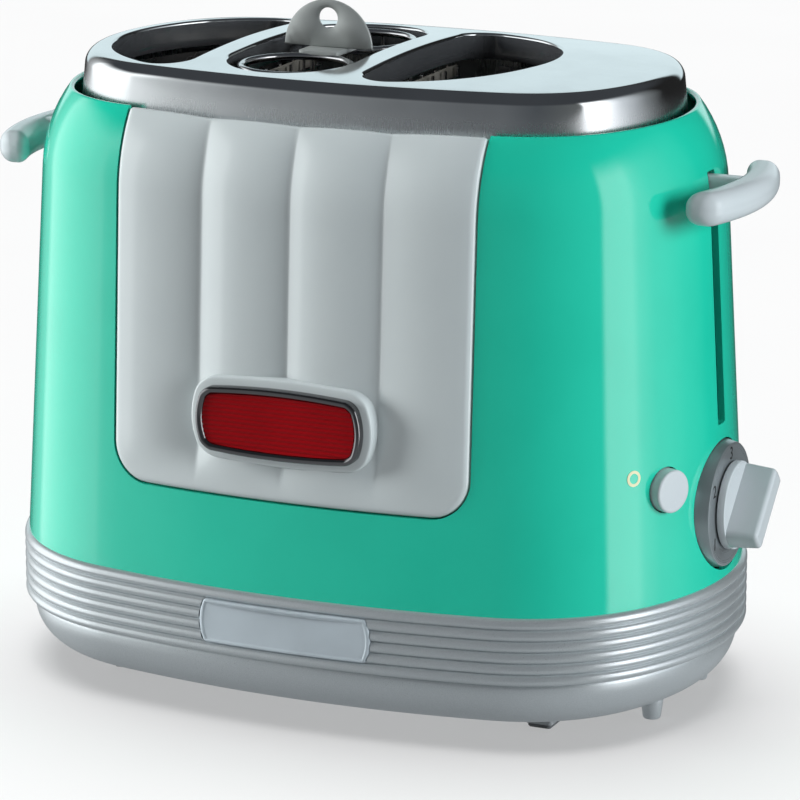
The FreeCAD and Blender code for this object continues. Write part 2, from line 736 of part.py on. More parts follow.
def panel_outline(sketch, grow=0):
    """The front panel's face: square top past the lip, rounded lower corners."""
    half = S.panel_width / 2 + grow
    corner = S.panel_corner + grow
    low = S.panel_bottom - grow
    high = S.lip_height + S.shell_wall * 2
    return outline(sketch, [
        (-half + corner, low), (half - corner, low), (half, low + corner), (half, high),
        (-half, high), (-half, low + corner)], {1: (corner, 1), 5: (corner, 1)})


def wall_profile(outer, inner):
    """An XZ section of the wall between two depths, from the shell's foot to the lip."""
    depth = inner - outer
    arc_centre = HALF_LENGTH - S.wall_lean - S.shoulder_radius * LEAN_COS
    centre_height = S.shoulder_start - S.shoulder_radius * LEAN_SIN
    tilt = (S.lip_height - centre_height) / (S.shoulder_radius - outer)
    flat = root(1 - tilt * tilt)
    lip_x = arc_centre + (S.shoulder_radius - outer) * flat
    return [
        (HALF_LENGTH - outer, SHELL_LOW),
        (HALF_LENGTH - outer, RING_TOP),
        (arc_centre + (S.shoulder_radius - outer) * LEAN_COS,
         centre_height + (S.shoulder_radius - outer) * LEAN_SIN),
        (lip_x, S.lip_height),
        (lip_x - depth * flat, S.lip_height - depth * tilt),
        (arc_centre + (S.shoulder_radius - inner) * LEAN_COS,
         centre_height + (S.shoulder_radius - inner) * LEAN_SIN),
        (HALF_LENGTH - inner, RING_TOP),
        (HALF_LENGTH - inner, SHELL_LOW),
    ], {2: (S.shoulder_radius - outer, 1), 4: (S.shoulder_radius - inner, -1)}


def make_body_shell():
    corners, bends = wall_profile(Dim.of(0), S.shell_wall)
    body = swept_oval("body_shell_body", corners, bends)
    window = panel_outline(new_sketch(body, "panel_window", "XZ_Plane"), S.seam)
    pocket(body, window, S.body_width, reverse=True)
    slots = rectangle(new_sketch(body, "lever_slots", "YZ_Plane"), -S.slot_width / 2,
                      SLOT_BOTTOM, S.slot_width / 2, SLOT_TOP)
    pocket(body, slots, S.body_length * 2, middle=True)
    dial_hole = circle(new_sketch(body, "dial_hole", "YZ_Plane"), 0, DIAL_HEIGHT,
                       S.dial_radius + S.seam)
    pocket(body, dial_hole, S.body_length, reverse=True)
    gland_hole = circle(new_sketch(body, "gland_hole", "XZ_Plane"), GLAND_X, GLAND_HEIGHT,
                        S.gland_radius + S.seam)
    pocket(body, gland_hole, S.body_width)
    hole = button_cylinder("button_hole", S.button_radius + S.button_gap, S.shell_wall * -4,
                           S.shell_wall * 4)
    node("body_shell", cut("body_shell_solid", body, [hole]))


GLAND_HEIGHT = RING_TOP + S.gland_radius * 2


def make_front_panel():
    """The fluted panel: its plan section carried up the wall and over the shoulder."""
    body = new_body("front_panel_body")
    low = S.panel_bottom
    inset = wall_inset(low)
    face = S.body_width / 2 - inset
    radius = S.front_radius - inset
    pitch = S.panel_width / 4
    section = new_sketch(body, "flute_section", "XY_Plane", low)
    edge = [pitch * k for k in (-2, -1, 0, 1, 2)]
    dip = [radius - root(radius * radius - x * x) for x in edge]
    front = [(x, -face + d + S.flute_depth) for x, d in zip(edge[1:-1], dip[1:-1])]
    right, left = (edge[4], -face + dip[4]), (edge[0], -face + dip[0])
    back = S.shell_wall + S.flute_depth
    chord = pitch * pitch / 4
    bulge = (chord + S.flute_depth * S.flute_depth) / (S.flute_depth * 2)
    outline(section, [
        left, front[0], front[1], front[2], right,
        (edge[4], -face + dip[4] + back), (edge[0], -face + dip[0] + back)],
        {0: (bulge * 1.4, 1), 1: (bulge, 1), 2: (bulge, 1), 3: (bulge * 1.4, 1),
         5: (radius - back, -1)})
    spine = new_sketch(body, "panel_path", "YZ_Plane")
    start = V(-float(face), float(low), 0)
    lean = (-HALF_WIDTH + S.wall_lean, S.shoulder_start)
    rise = S.lip_height - S.shoulder_start + S.shoulder_radius * LEAN_SIN
    tip = (-HALF_WIDTH + shoulder_inset(S.lip_height), S.lip_height)
    knee = V(float(lean[0]), float(lean[1]), 0)
    spine.addGeometry(Part.LineSegment(start, knee))
    spine.addGeometry(arc_between(knee, V(float(tip[0]), float(tip[1]), 0),
                                  float(S.shoulder_radius), -1))
    rule(spine, "Coincident", 0, 2, 1, 2)
    pin(spine, 0, 1, -face, low)
    pin(spine, 0, 2, *lean)
    pin(spine, 1, 1, *tip)
    rule(spine, "Radius", 1, value=S.shoulder_radius)
    sweep(body, section, spine)
    boss = badge_outline(new_sketch(body, "badge_boss", "XZ_Plane", BOSS_FACE), S.badge_margin)
    pad(body, boss, S.badge_stand + S.flute_depth, reverse=True)
    frame = new_body("panel_frame")
    trim = panel_outline(new_sketch(frame, "panel_trim", "XZ_Plane"))
    pad(frame, trim, S.body_width)
    face_plate = common("front_panel_face", [body, frame])
    node("front_panel", fuse("front_panel_solid", [face_plate, panel_clips()]))


def panel_clips():
    """Four tongues on the panel's edges that bear on the inside of the shell."""
    corners, bends = wall_profile(S.shell_wall, S.shell_wall * 2)
    layer = swept_oval("clip_layer", corners, bends)
    half = S.panel_width / 2
    blocks = []
    for way in (-1, 1):
        for low in (S.clip_low, S.clip_high):
            near, far = sorted(((half - S.clip_reach) * way, (half + S.clip_reach) * way), key=float)
            blocks.append(box("clip", (near, -S.body_width, low), (far, 0, low + S.clip_height)))
    return common("panel_clips", [layer, group("clip_blocks", blocks)])


BOSS_FACE = HALF_WIDTH - wall_inset(S.badge_height) + S.badge_stand


def badge_outline(sketch, grow=0):
    """A barrel: bowed top and bottom, bulging ends."""
    half = S.badge_width / 2 - S.badge_bulge + grow
    tall = S.badge_tall / 2 - S.badge_bow + grow
    bow = (half * half + S.badge_bow * S.badge_bow) / (S.badge_bow * 2)
    bulge = (tall * tall + S.badge_bulge * S.badge_bulge) / (S.badge_bulge * 2)
    low, high = S.badge_height - tall, S.badge_height + tall
    return outline(sketch, [(-half, low), (half, low), (half, high), (-half, high)],
                   {0: (bow, 1), 1: (bulge, 1), 2: (bow, 1), 3: (bulge, 1)})


def button_cylinder(name, radius, start, end):
    """A cylinder on the button's axis, between two depths along it from the wall face."""
    face = S.end_radius - wall_inset(S.button_height)
    centre = HALF_LENGTH - S.end_radius
    thing = doc.addObject("Part::Cylinder", name)
    bind(thing, "Radius", radius)
    bind(thing, "Height", Dim.of(end) - start)
    thing.Placement.Rotation = FreeCAD.Rotation(V(0, 0, 1), V(1, 0, 0))
    reach = face + start
    turn = FreeCAD.Rotation(UP, -SIZES["button_angle"]) * FreeCAD.Rotation(V(0, 1, 0), 90)
    thing.Placement = FreeCAD.Placement(V(), turn)
    return place(thing, centre + reach * cosine(S.button_angle), -reach * sine(S.button_angle),
                 S.button_height)


def make_badge():
    """The badge's chromed rim and its ribbed lens."""
    rim = new_body("badge_bezel_body")
    pad(rim, badge_outline(new_sketch(rim, "rim_face", "XZ_Plane", BOSS_FACE)), S.badge_depth)
    seat = badge_outline(new_sketch(rim, "lens_seat", "XZ_Plane", BOSS_FACE + S.badge_depth),
                         -S.badge_rim)
    pocket(rim, seat, S.lens_depth + S.badge_stand / 2)
    node("badge_bezel", rim)
    lens = new_body("badge_lens_body")
    back = BOSS_FACE + S.badge_depth - S.lens_depth - S.badge_stand / 2
    pad(lens, badge_outline(new_sketch(lens, "lens_face", "XZ_Plane", back), -S.badge_rim),
        S.lens_depth)
    node("badge_lens", lens)


def make_top_cover():
    """Pressed cover: plate, rounded edge, skirt with a flange, and three collared openings."""
    foot = HALF_LENGTH - S.cover_inset
    edge = foot - S.cover_lean
    knee = COVER_TOP - S.cover_bend
    flat = edge - S.cover_bend
    flange_top = FLANGE_HEIGHT + S.cover_wall
    body = swept_oval("top_cover_body", [
        (HALF_LENGTH - S.flange_inset, FLANGE_HEIGHT), (HALF_LENGTH - S.flange_inset, flange_top),
        (foot, flange_top), (edge, knee), (flat, COVER_TOP),
        (flat - S.cover_flat, COVER_TOP), (flat - S.cover_flat, COVER_UNDER),
        (flat, COVER_UNDER), (edge - S.cover_wall, knee), (foot - S.cover_wall, flange_top),
        (foot - S.flange_reach, flange_top), (foot - S.flange_reach, FLANGE_HEIGHT),
    ], {3: (S.cover_bend, 1), 7: (S.cover_bend - S.cover_wall, -1)})
    plate = oval(new_sketch(body, "cover_plate", lift=COVER_UNDER),
                 HALF_LENGTH - flat + S.cover_flat / 2)
    pad(body, plate, S.cover_wall)
    openings = new_sketch(body, "cover_openings", lift=COVER_TOP)
    d_loop(openings, 1)
    d_loop(openings, -1)
    stadium(openings)
    pocket(body, openings, S.cover_wall * 2)
    rounds = [float(bun_radius(1)), float(bun_radius(-1)), float(S.bun_corner), float(S.sausage_radius)]
    on_top = at_level(COVER_TOP)

    def rim(edge_):
        curve = edge_.Curve
        if not on_top(edge_):
            return False
        if isinstance(curve, Part.Circle):
            return any(abs(curve.Radius - radius) < 0.01 for radius in rounds)
        return isinstance(curve, Part.Line) and edge_.Length > float(SAUSAGE_PITCH) - 1
    fillet(body, S.rim_round, rim)
    node("top_cover", body)


def make_collars():
    """Sheet collars that hang from the cover round its three openings."""
    collars = []
    for name, draw in (("right", lambda sketch, grow: d_loop(sketch, 1, grow)),
                       ("left", lambda sketch, grow: d_loop(sketch, -1, grow)),
                       ("middle", stadium)):
        body = new_body("collar_" + name)
        plan = new_sketch(body, "collar_plan_" + name, lift=COVER_UNDER - S.collar_depth)
        draw(plan, S.collar_wall)
        draw(plan, 0)
        pad(body, plan, S.collar_depth)
        collars.append(body)
    node("opening_collars", group("opening_collar_group", collars))


# ---- chassis and heat ---------------------------------------------------------------


def strip_x(side):
    """The middle of the strip between a bun opening and the sausage opening."""
    return S.middle_x + (S.sausage_radius + S.strip_width / 2) * side


def rail_slot(name, x0, x1):
    """The block that the carriage's rail sweeps through a wall."""
    return box(name, (x0, -S.slot_half, RAIL_SLOT_LOW), (x1, S.slot_half, RAIL_SLOT_HIGH))


def make_chassis_floor():
    body = new_body("chassis_floor_body")
    inset = HALF_LENGTH - RING_INNER + S.floor_gap
    pad(body, oval(new_sketch(body, "floor_plan", lift=S.ledge_top), inset), S.sheet)
    holes = new_sketch(body, "crumb_holes", lift=FLOOR_TOP)
    for side in (1, -1):
        d_loop(holes, side, -S.crumb_inset)
    stadium(holes, -S.crumb_inset)
    for x, y in screw_spots():
        circle(holes, x, y, S.screw_radius)
    pocket(body, holes, S.sheet * 2)
    node("chassis_floor", body)


def make_bun_liners():
    """A curved reflector on the outer side of each bun chamber."""
    for side, name in ((-1, "bun_reflector_left"), (1, "bun_reflector_right")):
        body = new_body(name + "_body")
        ring = new_sketch(body, name + "_plan", lift=FLOOR_TOP)
        d_loop(ring, side, S.liner_gap + S.liner_sheet)
        d_loop(ring, side, S.liner_gap)
        pad(body, ring, LINER_TOP - FLOOR_TOP)
        near = bun_flat(side) - S.strip_width * side
        far = bun_flat(side) + S.bun_corner * side
        low, high = (near, far) if side > 0 else (far, near)
        opening = box(name + "_side", (low, -S.body_width, 0), (high, S.body_width, COVER_TOP))
        reach = S.bun_reach_right if side > 0 else BUN_REACH_LEFT
        outer = (reach + S.liner_gap + S.liner_sheet * 2) * side
        inner = (reach - S.bun_corner) * side
        low, high = (inner, outer) if side > 0 else (outer, inner)
        slot = rail_slot(name + "_slot", low, high)
        node(name, cut(name + "_solid", body, [opening, slot]))


def make_heaters():
    """A mica board in each strip, wound with ribbon on both of its legs."""
    for side, name in ((-1, "left"), (1, "right")):
        x = strip_x(side)
        half = S.board_sheet / 2
        leg = S.slot_half + 1
        board = box("mica_" + name, (x - half, -BOARD_WIDTH / 2, FLOOR_TOP),
                    (x + half, BOARD_WIDTH / 2, LINER_TOP))
        gap = box("mica_gap_" + name, (x - 1, -leg, 0), (x + 1, leg, RAIL_SLOT_HIGH))
        node("heater_board_" + name, cut("heater_board_" + name + "_solid", board, [gap]))
        loops = []
        inner = half + S.fit
        outer = inner + S.winding_wire
        for k in range(SIZES["winding_count"]):
            z = S.winding_start + S.winding_pitch * k
            spans = [(leg * hand, BOARD_WIDTH / 2 * hand) for hand in (-1, 1)]
            if float(z) > float(RAIL_SLOT_HIGH):
                spans = [(BOARD_WIDTH / -2, BOARD_WIDTH / 2)]
            elif float(z) > float(RAIL_SLOT_HIGH - S.winding_pitch):
                continue
            for span in spans:
                low, high = sorted(span, key=float)
                low, high = low - S.fit, high + S.fit
                band = box("band", (x - outer, low - S.winding_wire, z),
                           (x + outer, high + S.winding_wire, z + S.winding_tape))
                core = box("band_core", (x - inner, low, z - 1),
                           (x + inner, high, z + S.winding_tape + 1))
                loops.append(cut("loop", band, [core]))
        node("heating_ribbon_" + name, group("heating_ribbon_group_" + name, loops))


def make_guards():
    """Wire guards on both sides of each strip keep the bread off the ribbon."""
    spots = (("bun_guard_left", -1, -1), ("sausage_guard_left", -1, 1),
             ("sausage_guard_right", 1, -1), ("bun_guard_right", 1, 1))
    for name, side, hand in spots:
        x = strip_x(side) + S.guard_spread * hand
        radius = S.guard_wire / 2
        wires = []
        for k in range(1, SIZES["guard_count"] + 1):
            for way in (-1, 1):
                wires.append(cylinder("guard_wire", radius, LINER_TOP - FLOOR_TOP,
                                      (x, S.guard_pitch * k * way, FLOOR_TOP)))
        span = S.guard_pitch * (SIZES["guard_count"] + 0.2)
        for level in (S.guard_low, GUARD_HIGH):
            wires.append(cylinder("guard_bar", radius, span * 2, (x, -span, level), "y"))
        node(name, fuse(name + "_solid", wires))


LEFT_OUTER = CHASSIS_LEFT + S.sheet
RIGHT_OUTER = CHASSIS_RIGHT + S.sheet
LEFT_ROD = LEFT_OUTER + S.upright_gap + S.upright_width / 2
RIGHT_ROD = RIGHT_OUTER + S.upright_gap + S.upright_width / 2


def make_chassis_plates():
    half = LEFT_PLATE / 2
    plate = box("left_plate", (-LEFT_OUTER, -half, FLOOR_TOP), (-CHASSIS_LEFT, half, FLANGE_HEIGHT))
    foot = box("left_foot", (-LEFT_OUTER - S.foot_flange / 2, -half, FLOOR_TOP),
               (-LEFT_OUTER, -S.rod_y * 2, FLOOR_TOP + S.sheet))
    clamp = box("left_clamp", (-LEFT_ROD - S.rod_radius, -S.block_width / 2, ROD_TOP),
                (-LEFT_OUTER, S.block_width / 2, ROD_TOP + S.sheet))
    slot = rail_slot("left_plate_slot", -LEFT_OUTER - 1, -CHASSIS_LEFT + 1)
    arm = box("left_arm_gap", (-HALF_LENGTH, -S.slot_half, ROD_TOP - 1),
              (-LEFT_OUTER - 1, S.slot_half, ROD_TOP + S.sheet * 2))
    node("chassis_plate_left", cut("chassis_left_solid", fuse("chassis_left_blank",
                                                             [plate, foot, clamp]), [slot, arm]))
    half = RIGHT_PLATE / 2
    plate = box("right_plate", (CHASSIS_RIGHT, -half, FLOOR_TOP), (RIGHT_OUTER, half, COVER_UNDER))
    clamp = box("right_clamp", (RIGHT_OUTER, -S.block_width / 2, ROD_TOP),
                (RIGHT_ROD + S.rod_radius, S.block_width / 2, ROD_TOP + S.sheet))
    slot = rail_slot("right_plate_slot", CHASSIS_RIGHT - 1, RIGHT_OUTER + 1)
    node("chassis_plate_right", cut("chassis_right_solid", fuse("chassis_right_blank",
                                                               [plate, clamp]), [slot]))
    for sign, name in ((-1, "heat_shield_front"), (1, "heat_shield_rear")):
        near, far = SHIELD_Y * sign, (SHIELD_Y + S.sheet) * sign
        low, high = sorted((near, far), key=float)
        node(name, box(name, (-SHIELD_LEFT, low, FLOOR_TOP), (CHASSIS_RIGHT, high, SHIELD_TOP)))


def make_guide_rods():
    for name, x in (("left", -LEFT_ROD), ("right", RIGHT_ROD)):
        rods = [cylinder("guide_rod", S.rod_radius, ROD_TOP - FLOOR_TOP,
                         (x, S.rod_y * way, FLOOR_TOP)) for way in (-1, 1)]
        node("guide_rods_" + name, group("guide_rods_group_" + name, rods))


# ---- carriage -------------------------------------------------------------------------

ARM_LOW = LEVER_HEIGHT - S.arm_height / 2
ARM_HIGH = LEVER_HEIGHT + S.arm_height / 2
ARM_TIP = PADDLE_INNER + S.paddle_depth - S.paddle_skin * 2
BLOCK_LOW = BLOCK_TOP - S.block_height


def make_carriage_frame():
    """One upright sheet: rail, two uprights and the two lever arms."""
    half = S.upright_width / 2
    body = new_body("carriage_frame_body")
    sketch = new_sketch(body, "carriage_outline", "XZ_Plane")
    outline(sketch, [
        (-ARM_TIP, ARM_LOW), (-LEFT_ROD - half, ARM_LOW), (-LEFT_ROD - half, RAIL_LOW),
        (RIGHT_ROD + half, RAIL_LOW), (RIGHT_ROD + half, ARM_LOW), (ARM_TIP, ARM_LOW),
        (ARM_TIP, ARM_HIGH), (RIGHT_ROD - half, ARM_HIGH), (RIGHT_ROD - half, REST_LEVEL),
        (-LEFT_ROD + half, REST_LEVEL), (-LEFT_ROD + half, ARM_HIGH), (-ARM_TIP, ARM_HIGH)])
    pad(body, sketch, S.carriage_sheet, middle=True)
    node("carriage_frame", body)


def make_slide_blocks():
    """Bearing blocks that carry the uprights along the guide rods."""
    for name, x in (("left", -LEFT_ROD), ("right", RIGHT_ROD)):
        block = box("block", (x - S.block_depth / 2, -S.block_width / 2, BLOCK_LOW),
                    (x + S.block_depth / 2, S.block_width / 2, BLOCK_TOP))
        bores = [cylinder("rod_bore", S.rod_radius + S.fit, S.block_height * 2,
                          (x, S.rod_y * way, BLOCK_LOW - 1)) for way in (-1, 1)]
        seat = box("upright_seat", (x - S.block_depth, -S.carriage_sheet / 2, BLOCK_LOW - 1),
                   (x + S.block_depth, S.carriage_sheet / 2, BLOCK_TOP + 1))
        bridge = box("block_bridge", (x - S.block_depth / 2, -S.block_width / 2, BLOCK_LOW),
                     (x - S.upright_width / 2, S.block_width / 2, BLOCK_LOW + S.carriage_sheet)) \
            if name == "right" else box(
                "block_bridge", (x + S.upright_width / 2, -S.block_width / 2, BLOCK_LOW),
                (x + S.block_depth / 2, S.block_width / 2, BLOCK_LOW + S.carriage_sheet))
        halves = cut("slide_block_halves_" + name, block, bores + [seat])
        node("slide_block_" + name, fuse("slide_block_solid_" + name, [halves, bridge]))


def make_platforms():
    top = REST_LEVEL
    for side, name in ((-1, "bun_platform_left"), (1, "bun_platform_right")):
        body = new_body(name + "_body")
        pad(body, d_loop(new_sketch(body, name + "_plan", lift=top), side, -S.platform_gap),
            S.platform_sheet)
        node(name, body)
    body = new_body("sausage_platform_body")
    pad(body, stadium(new_sketch(body, "sausage_platform_plan", lift=top), -S.platform_gap),
        S.platform_sheet)
    node("sausage_platform", body)


def make_levers():
    """Curved finger pads outside the slots, with a neck over each lever arm."""
    half = S.paddle_width / 2
    low, high = LEVER_HEIGHT - S.paddle_height / 2, LEVER_HEIGHT + S.paddle_height / 2
    for side, name in ((-1, "lever_left"), (1, "lever_right")):
        body = new_body(name + "_body")
        plan = new_sketch(body, name + "_plan", lift=low)
        drop = S.paddle_curve - root(S.paddle_curve * S.paddle_curve - half * half)
        inner, outer = PADDLE_INNER, PADDLE_INNER + S.paddle_depth
        spots = [(inner - drop, -half), (outer - drop, -half), (outer - drop, half),
                 (inner - drop, half)]
        bends = {1: (S.paddle_curve, 1), 3: (S.paddle_curve, -1)}
        if side < 0:
            spots = [(-1 * x, -1 * y) for x, y in spots]
        outline(plan, spots, bends)
        pad(body, plan, S.paddle_height)
        fillet(body, S.paddle_round, lambda edge: edge.BoundBox.ZLength > 1)
        fillet(body, S.paddle_round * 0.9, at_level(low))
        arm_end = ARM_TIP * side
        root_end = NECK_ROOT * side
        a, b = sorted((arm_end, root_end), key=float)
        c, d = sorted(((PADDLE_INNER + S.paddle_skin) * side, root_end), key=float)
        neck = box(name + "_neck", (c, -S.neck_width / 2, ARM_LOW), (d, S.neck_width / 2, ARM_HIGH))
        arm = box(name + "_arm", (a, -S.carriage_sheet / 2, ARM_LOW), (b, S.carriage_sheet / 2, ARM_HIGH))
        bridge = box(name + "_cap", (c, -S.neck_width / 2, ARM_HIGH),
                     (d, S.neck_width / 2, ARM_HIGH + S.carriage_sheet / 2))
        node(name, cut(name + "_solid", fuse(name + "_blank", [body, neck, bridge]), [arm]))


def make_springs():
    """Return springs round the guide rods, from the floor to the bearing blocks."""
    height = float(BLOCK_LOW - FLOOR_TOP)
    wire = float(S.spring_wire) / 2
    radius = float(S.spring_radius)
    pitch = (height - wire * 2) / SIZES["spring_turns"]
    for name, x in (("left", -LEFT_ROD), ("right", RIGHT_ROD)):
        coils = []
        for way in (-1, 1):
            path = Part.makeHelix(pitch, height - wire * 2, radius)
            ring = Part.Wire([Part.makeCircle(wire, V(radius, 0, 0), V(0, 1, 0))])
            coil = Part.Wire(path.Edges).makePipeShell([ring], True, True)
            coil.translate(V(float(x), float(S.rod_y) * way, float(FLOOR_TOP) + wire))
            coils.append(coil)
        thing = doc.addObject("Part::Feature", "return_springs_" + name)
        thing.Shape = Part.makeCompound(coils)
        node("return_springs_" + name, thing)


def make_magnet():
    x = RIGHT_ROD + S.upright_width / 2
    top = RAIL_LOW - S.armature_thickness - S.travel - S.magnet_gap
    node("electromagnet", cylinder("electromagnet_can", S.magnet_radius, top - FLOOR_TOP,
                                   (x + S.magnet_radius, 0, FLOOR_TOP)))
    node("armature", box("armature_plate", (RIGHT_ROD - S.upright_width / 2, -S.armature_width / 2,
                                            RAIL_LOW - S.armature_thickness),
                         (x + S.magnet_radius * 2, S.armature_width / 2, RAIL_LOW)))


# ---- sausage basket ---------------------------------------------------------------------


def make_basket():
    """Two hoops on rods over a base plate, lifted by a tab with a finger hole."""
    base = REST_LEVEL + S.platform_sheet
    rod_foot = base + S.basket_sheet
    hoops, rods = [], []
    for way in (-1, 1):
        hoop = doc.addObject("Part::Torus", "hoop")
        bind(hoop, "Radius1", S.ring_radius)
        bind(hoop, "Radius2", S.ring_wire)
        y = HOOP_PITCH / 2 * way
        hoops.append(place(hoop, S.middle_x, y, RING_LEVEL))
        for dx, dy in ((-1, 0), (1, 0), (0, way)):
            rods.append(cylinder("basket_rod", S.basket_rod, RING_LEVEL - S.ring_wire - rod_foot,
                                 (S.middle_x + S.ring_radius * dx, y + S.ring_radius * dy, rod_foot)))
    node("basket_hoops", group("basket_hoop_group", hoops))
    node("basket_rods", group("basket_rod_group", rods))
    body = new_body("basket_base_body")
    sketch = new_sketch(body, "basket_base_plan", lift=base)
    stadium(sketch, S.ring_radius + S.basket_rod * 2 - S.sausage_radius, HOOP_PITCH)
    pad(body, sketch, S.basket_sheet)
    node("basket_base", body)
    reach = HOOP_PITCH / 2 - S.ring_radius + S.ring_wire
    foot = TAB_TOP - S.tab_width / 2
    strap = cut("tab_strap", box(
        "strap_blank", (S.middle_x - S.strap_width / 2, -reach, foot - S.strap_sheet),
        (S.middle_x + S.strap_width / 2, reach, foot)), hoops)
    radius = S.tab_width / 2
    body = new_body("basket_tab_body")
    face = new_sketch(body, "tab_face", "XZ_Plane")
    outline(face, [(S.middle_x - radius, foot), (S.middle_x + radius, foot),
                   (S.middle_x, TAB_TOP)], {1: (radius, 1), 2: (radius, 1)})
    circle(face, S.middle_x, TAB_TOP - S.tab_hole_drop, S.tab_hole)
    pad(body, face, S.tab_sheet, middle=True)
    node("basket_tab", fuse("basket_tab_solid", [body, strap]))


# ---- controls -----------------------------------------------------------------------------


def make_dial_ring():
    """The numbered ring: a tapered rim, a retaining flange and a boss to the timer."""
    back = FLANGE_X
    taper_start = RING_FACE - S.dial_front
    rim = cylinder("dial_rim", S.dial_radius, taper_start - back, (back, 0, DIAL_HEIGHT), "x")
    cone = doc.addObject("Part::Cone", "dial_taper")
    bind(cone, "Radius1", S.dial_radius)
    bind(cone, "Radius2", S.dial_radius - S.dial_taper)
    bind(cone, "Height", S.dial_front)
    cone.Placement = FreeCAD.Placement(V(), FreeCAD.Rotation(V(0, 1, 0), 90))
    place(cone, taper_start, 0, DIAL_HEIGHT)
    flange = cylinder("dial_flange", S.dial_flange, S.dial_flange_wall, (back, 0, DIAL_HEIGHT), "x")
    hollow = cylinder("dial_hollow", S.dial_radius - S.dial_skin * 2,
                      RING_FACE - S.dial_skin - back + 1, (back - 1, 0, DIAL_HEIGHT), "x")
    boss = cylinder("dial_boss", S.timer_radius, RING_FACE - S.dial_skin / 2 - TIMER_FACE,
                    (TIMER_FACE, 0, DIAL_HEIGHT), "x")
    bore = cylinder("dial_bore", S.dial_bore, HALF_LENGTH, (TIMER_FACE - 1, 0, DIAL_HEIGHT), "x")
    shell = cut("dial_shell", fuse("dial_blank", [rim, cone, flange]), [hollow])
    node("dial_ring", cut("dial_ring_solid", fuse("dial_with_boss", [shell, boss]), [bore]))


TIMER_FACE = PCB_X + S.pcb_sheet + S.timer_length


def make_timer():
    half = S.pcb_width / 2
    node("control_board", box("control_board_sheet", (PCB_X, -half, FLOOR_TOP),
                              (PCB_X + S.pcb_sheet, half, FLOOR_TOP + S.pcb_height)))
    can = cylinder("timer_can", S.timer_radius, S.timer_length,
                   (PCB_X + S.pcb_sheet, 0, DIAL_HEIGHT), "x")
    bore = cylinder("timer_bore", S.knob_shaft + S.fit, HALF_LENGTH,
                    (TIMER_FACE - S.shaft_seat, 0, DIAL_HEIGHT), "x")
    node("timer", cut("timer_solid", can, [bore]))


def make_knob():
    """The timer knob on its shaft, drawn upright and turned to its lowest setting."""
    face = RING_FACE + S.knob_gap
    body = new_body("knob_body")
    pad(body, circle(new_sketch(body, "knob_disc", "YZ_Plane", face), 0, 0, S.knob_radius),
        S.knob_flange)
    bar = new_sketch(body, "knob_grip", "YZ_Plane", face + S.knob_flange)
    end = root(S.knob_radius * S.knob_radius - S.grip_width * S.grip_width / 4)
    w = S.grip_width / 2
    outline(bar, [(-w, -end), (w, -end), (w, end), (-w, end)],
            {0: (S.knob_radius, 1), 2: (S.knob_radius, 1)})
    grip = pad(body, bar, S.grip_reach)
    bind(grip, "TaperAngle", -S.grip_draft)
    doc.recompute()
    tip = float(face + S.knob_flange + S.grip_reach)
    fillet(body, S.grip_round, lambda edge: edge.BoundBox.XMin > tip - 0.01)
    socket = circle(new_sketch(body, "knob_socket", "YZ_Plane", face), 0, 0, S.knob_shaft)
    pocket(body, socket, S.knob_socket, reverse=True)
    body.Placement = FreeCAD.Placement(V(), FreeCAD.Rotation(V(1, 0, 0), -SIZES["grip_angle"]))
    place(body, z=DIAL_HEIGHT)
    node("timer_knob", body)
    start = TIMER_FACE - S.shaft_seat
    node("knob_shaft", cylinder("knob_shaft_rod", S.knob_shaft, face + S.knob_socket - start,
                                (start, 0, DIAL_HEIGHT), "x"))


def make_button():
    back = -S.button_depth
    head = button_cylinder("button_head", S.button_radius, back, S.button_proud)
    stem_end = back - S.stem_length
    stem = button_cylinder("button_stem", S.stem_radius, stem_end, back)
    rounded = doc.addObject("Part::Chamfer", "button_edge")
    rounded.Base = head
    doc.recompute()
    face = S.end_radius - wall_inset(S.button_height) + S.button_proud
    tip = float(HALF_LENGTH - S.end_radius) + float(face) * math.cos(math.radians(float(S.button_angle)))
    size = float(S.button_round)
    rims = [(i, size, size) for i, edge in enumerate(head.Shape.Edges, start=1)
            if isinstance(edge.Curve, Part.Circle) and abs(edge.Curve.Center.x - tip) < 0.01]
    rounded.Edges = rims
    node("cancel_button", fuse("cancel_button_solid", [rounded, stem]))
    front = back - S.switch_gap
    case = button_cylinder("switch_case", S.switch_radius, front - S.switch_depth, front)
    bore = button_cylinder("switch_bore", S.stem_radius + S.fit, front - S.switch_depth + 1, front + 1)
    node("cancel_switch", cut("cancel_switch_solid", case, [bore]))
    reach = S.end_radius - wall_inset(S.button_height) + front - S.switch_depth / 2
    x = HALF_LENGTH - S.end_radius + reach * cosine(S.button_angle)
    y = -reach * sine(S.button_angle)
    half = S.bracket_size / 2
    post = box("bracket_post", (x - half, y - half, FLOOR_TOP), (x + half, y + half, S.button_height))
    shape = button_cylinder("bracket_cradle", S.switch_radius, front - S.switch_depth * 2,
                            front + S.switch_depth)
    node("switch_bracket", cut("switch_bracket_solid", post, [shape]))


# ---- crumb tray and cable gland --------------------------------------------------------------


def make_crumb_tray():
    half = S.tray_width / 2
    low, high = S.tray_level, S.tray_level + S.tray_depth
    x0, x1 = S.tray_x - half, S.tray_x + half
    blank = box("tray_blank", (x0, -TRAY_FRONT, low), (x1, TRAY_REAR, high))
    well = box("tray_well", (x0 + S.tray_wall, -TRAY_FRONT + S.tray_wall, low + S.tray_wall),
               (x1 - S.tray_wall, TRAY_REAR - S.tray_wall, high + 1))
    tray = cut("tray_shell", blank, [well])
    tongue = box("tray_tongue", (S.tray_x - S.tray_tongue / 2, TRAY_REAR, low),
                 (S.tray_x + S.tray_tongue / 2, TONGUE_END, low + S.tray_wall * 2))
    trimmed = cut("tray_tongue_trim", tongue, [NODES["crumb_tray_handle"]])
    node("crumb_tray", fuse("crumb_tray_solid", [tray, trimmed]))


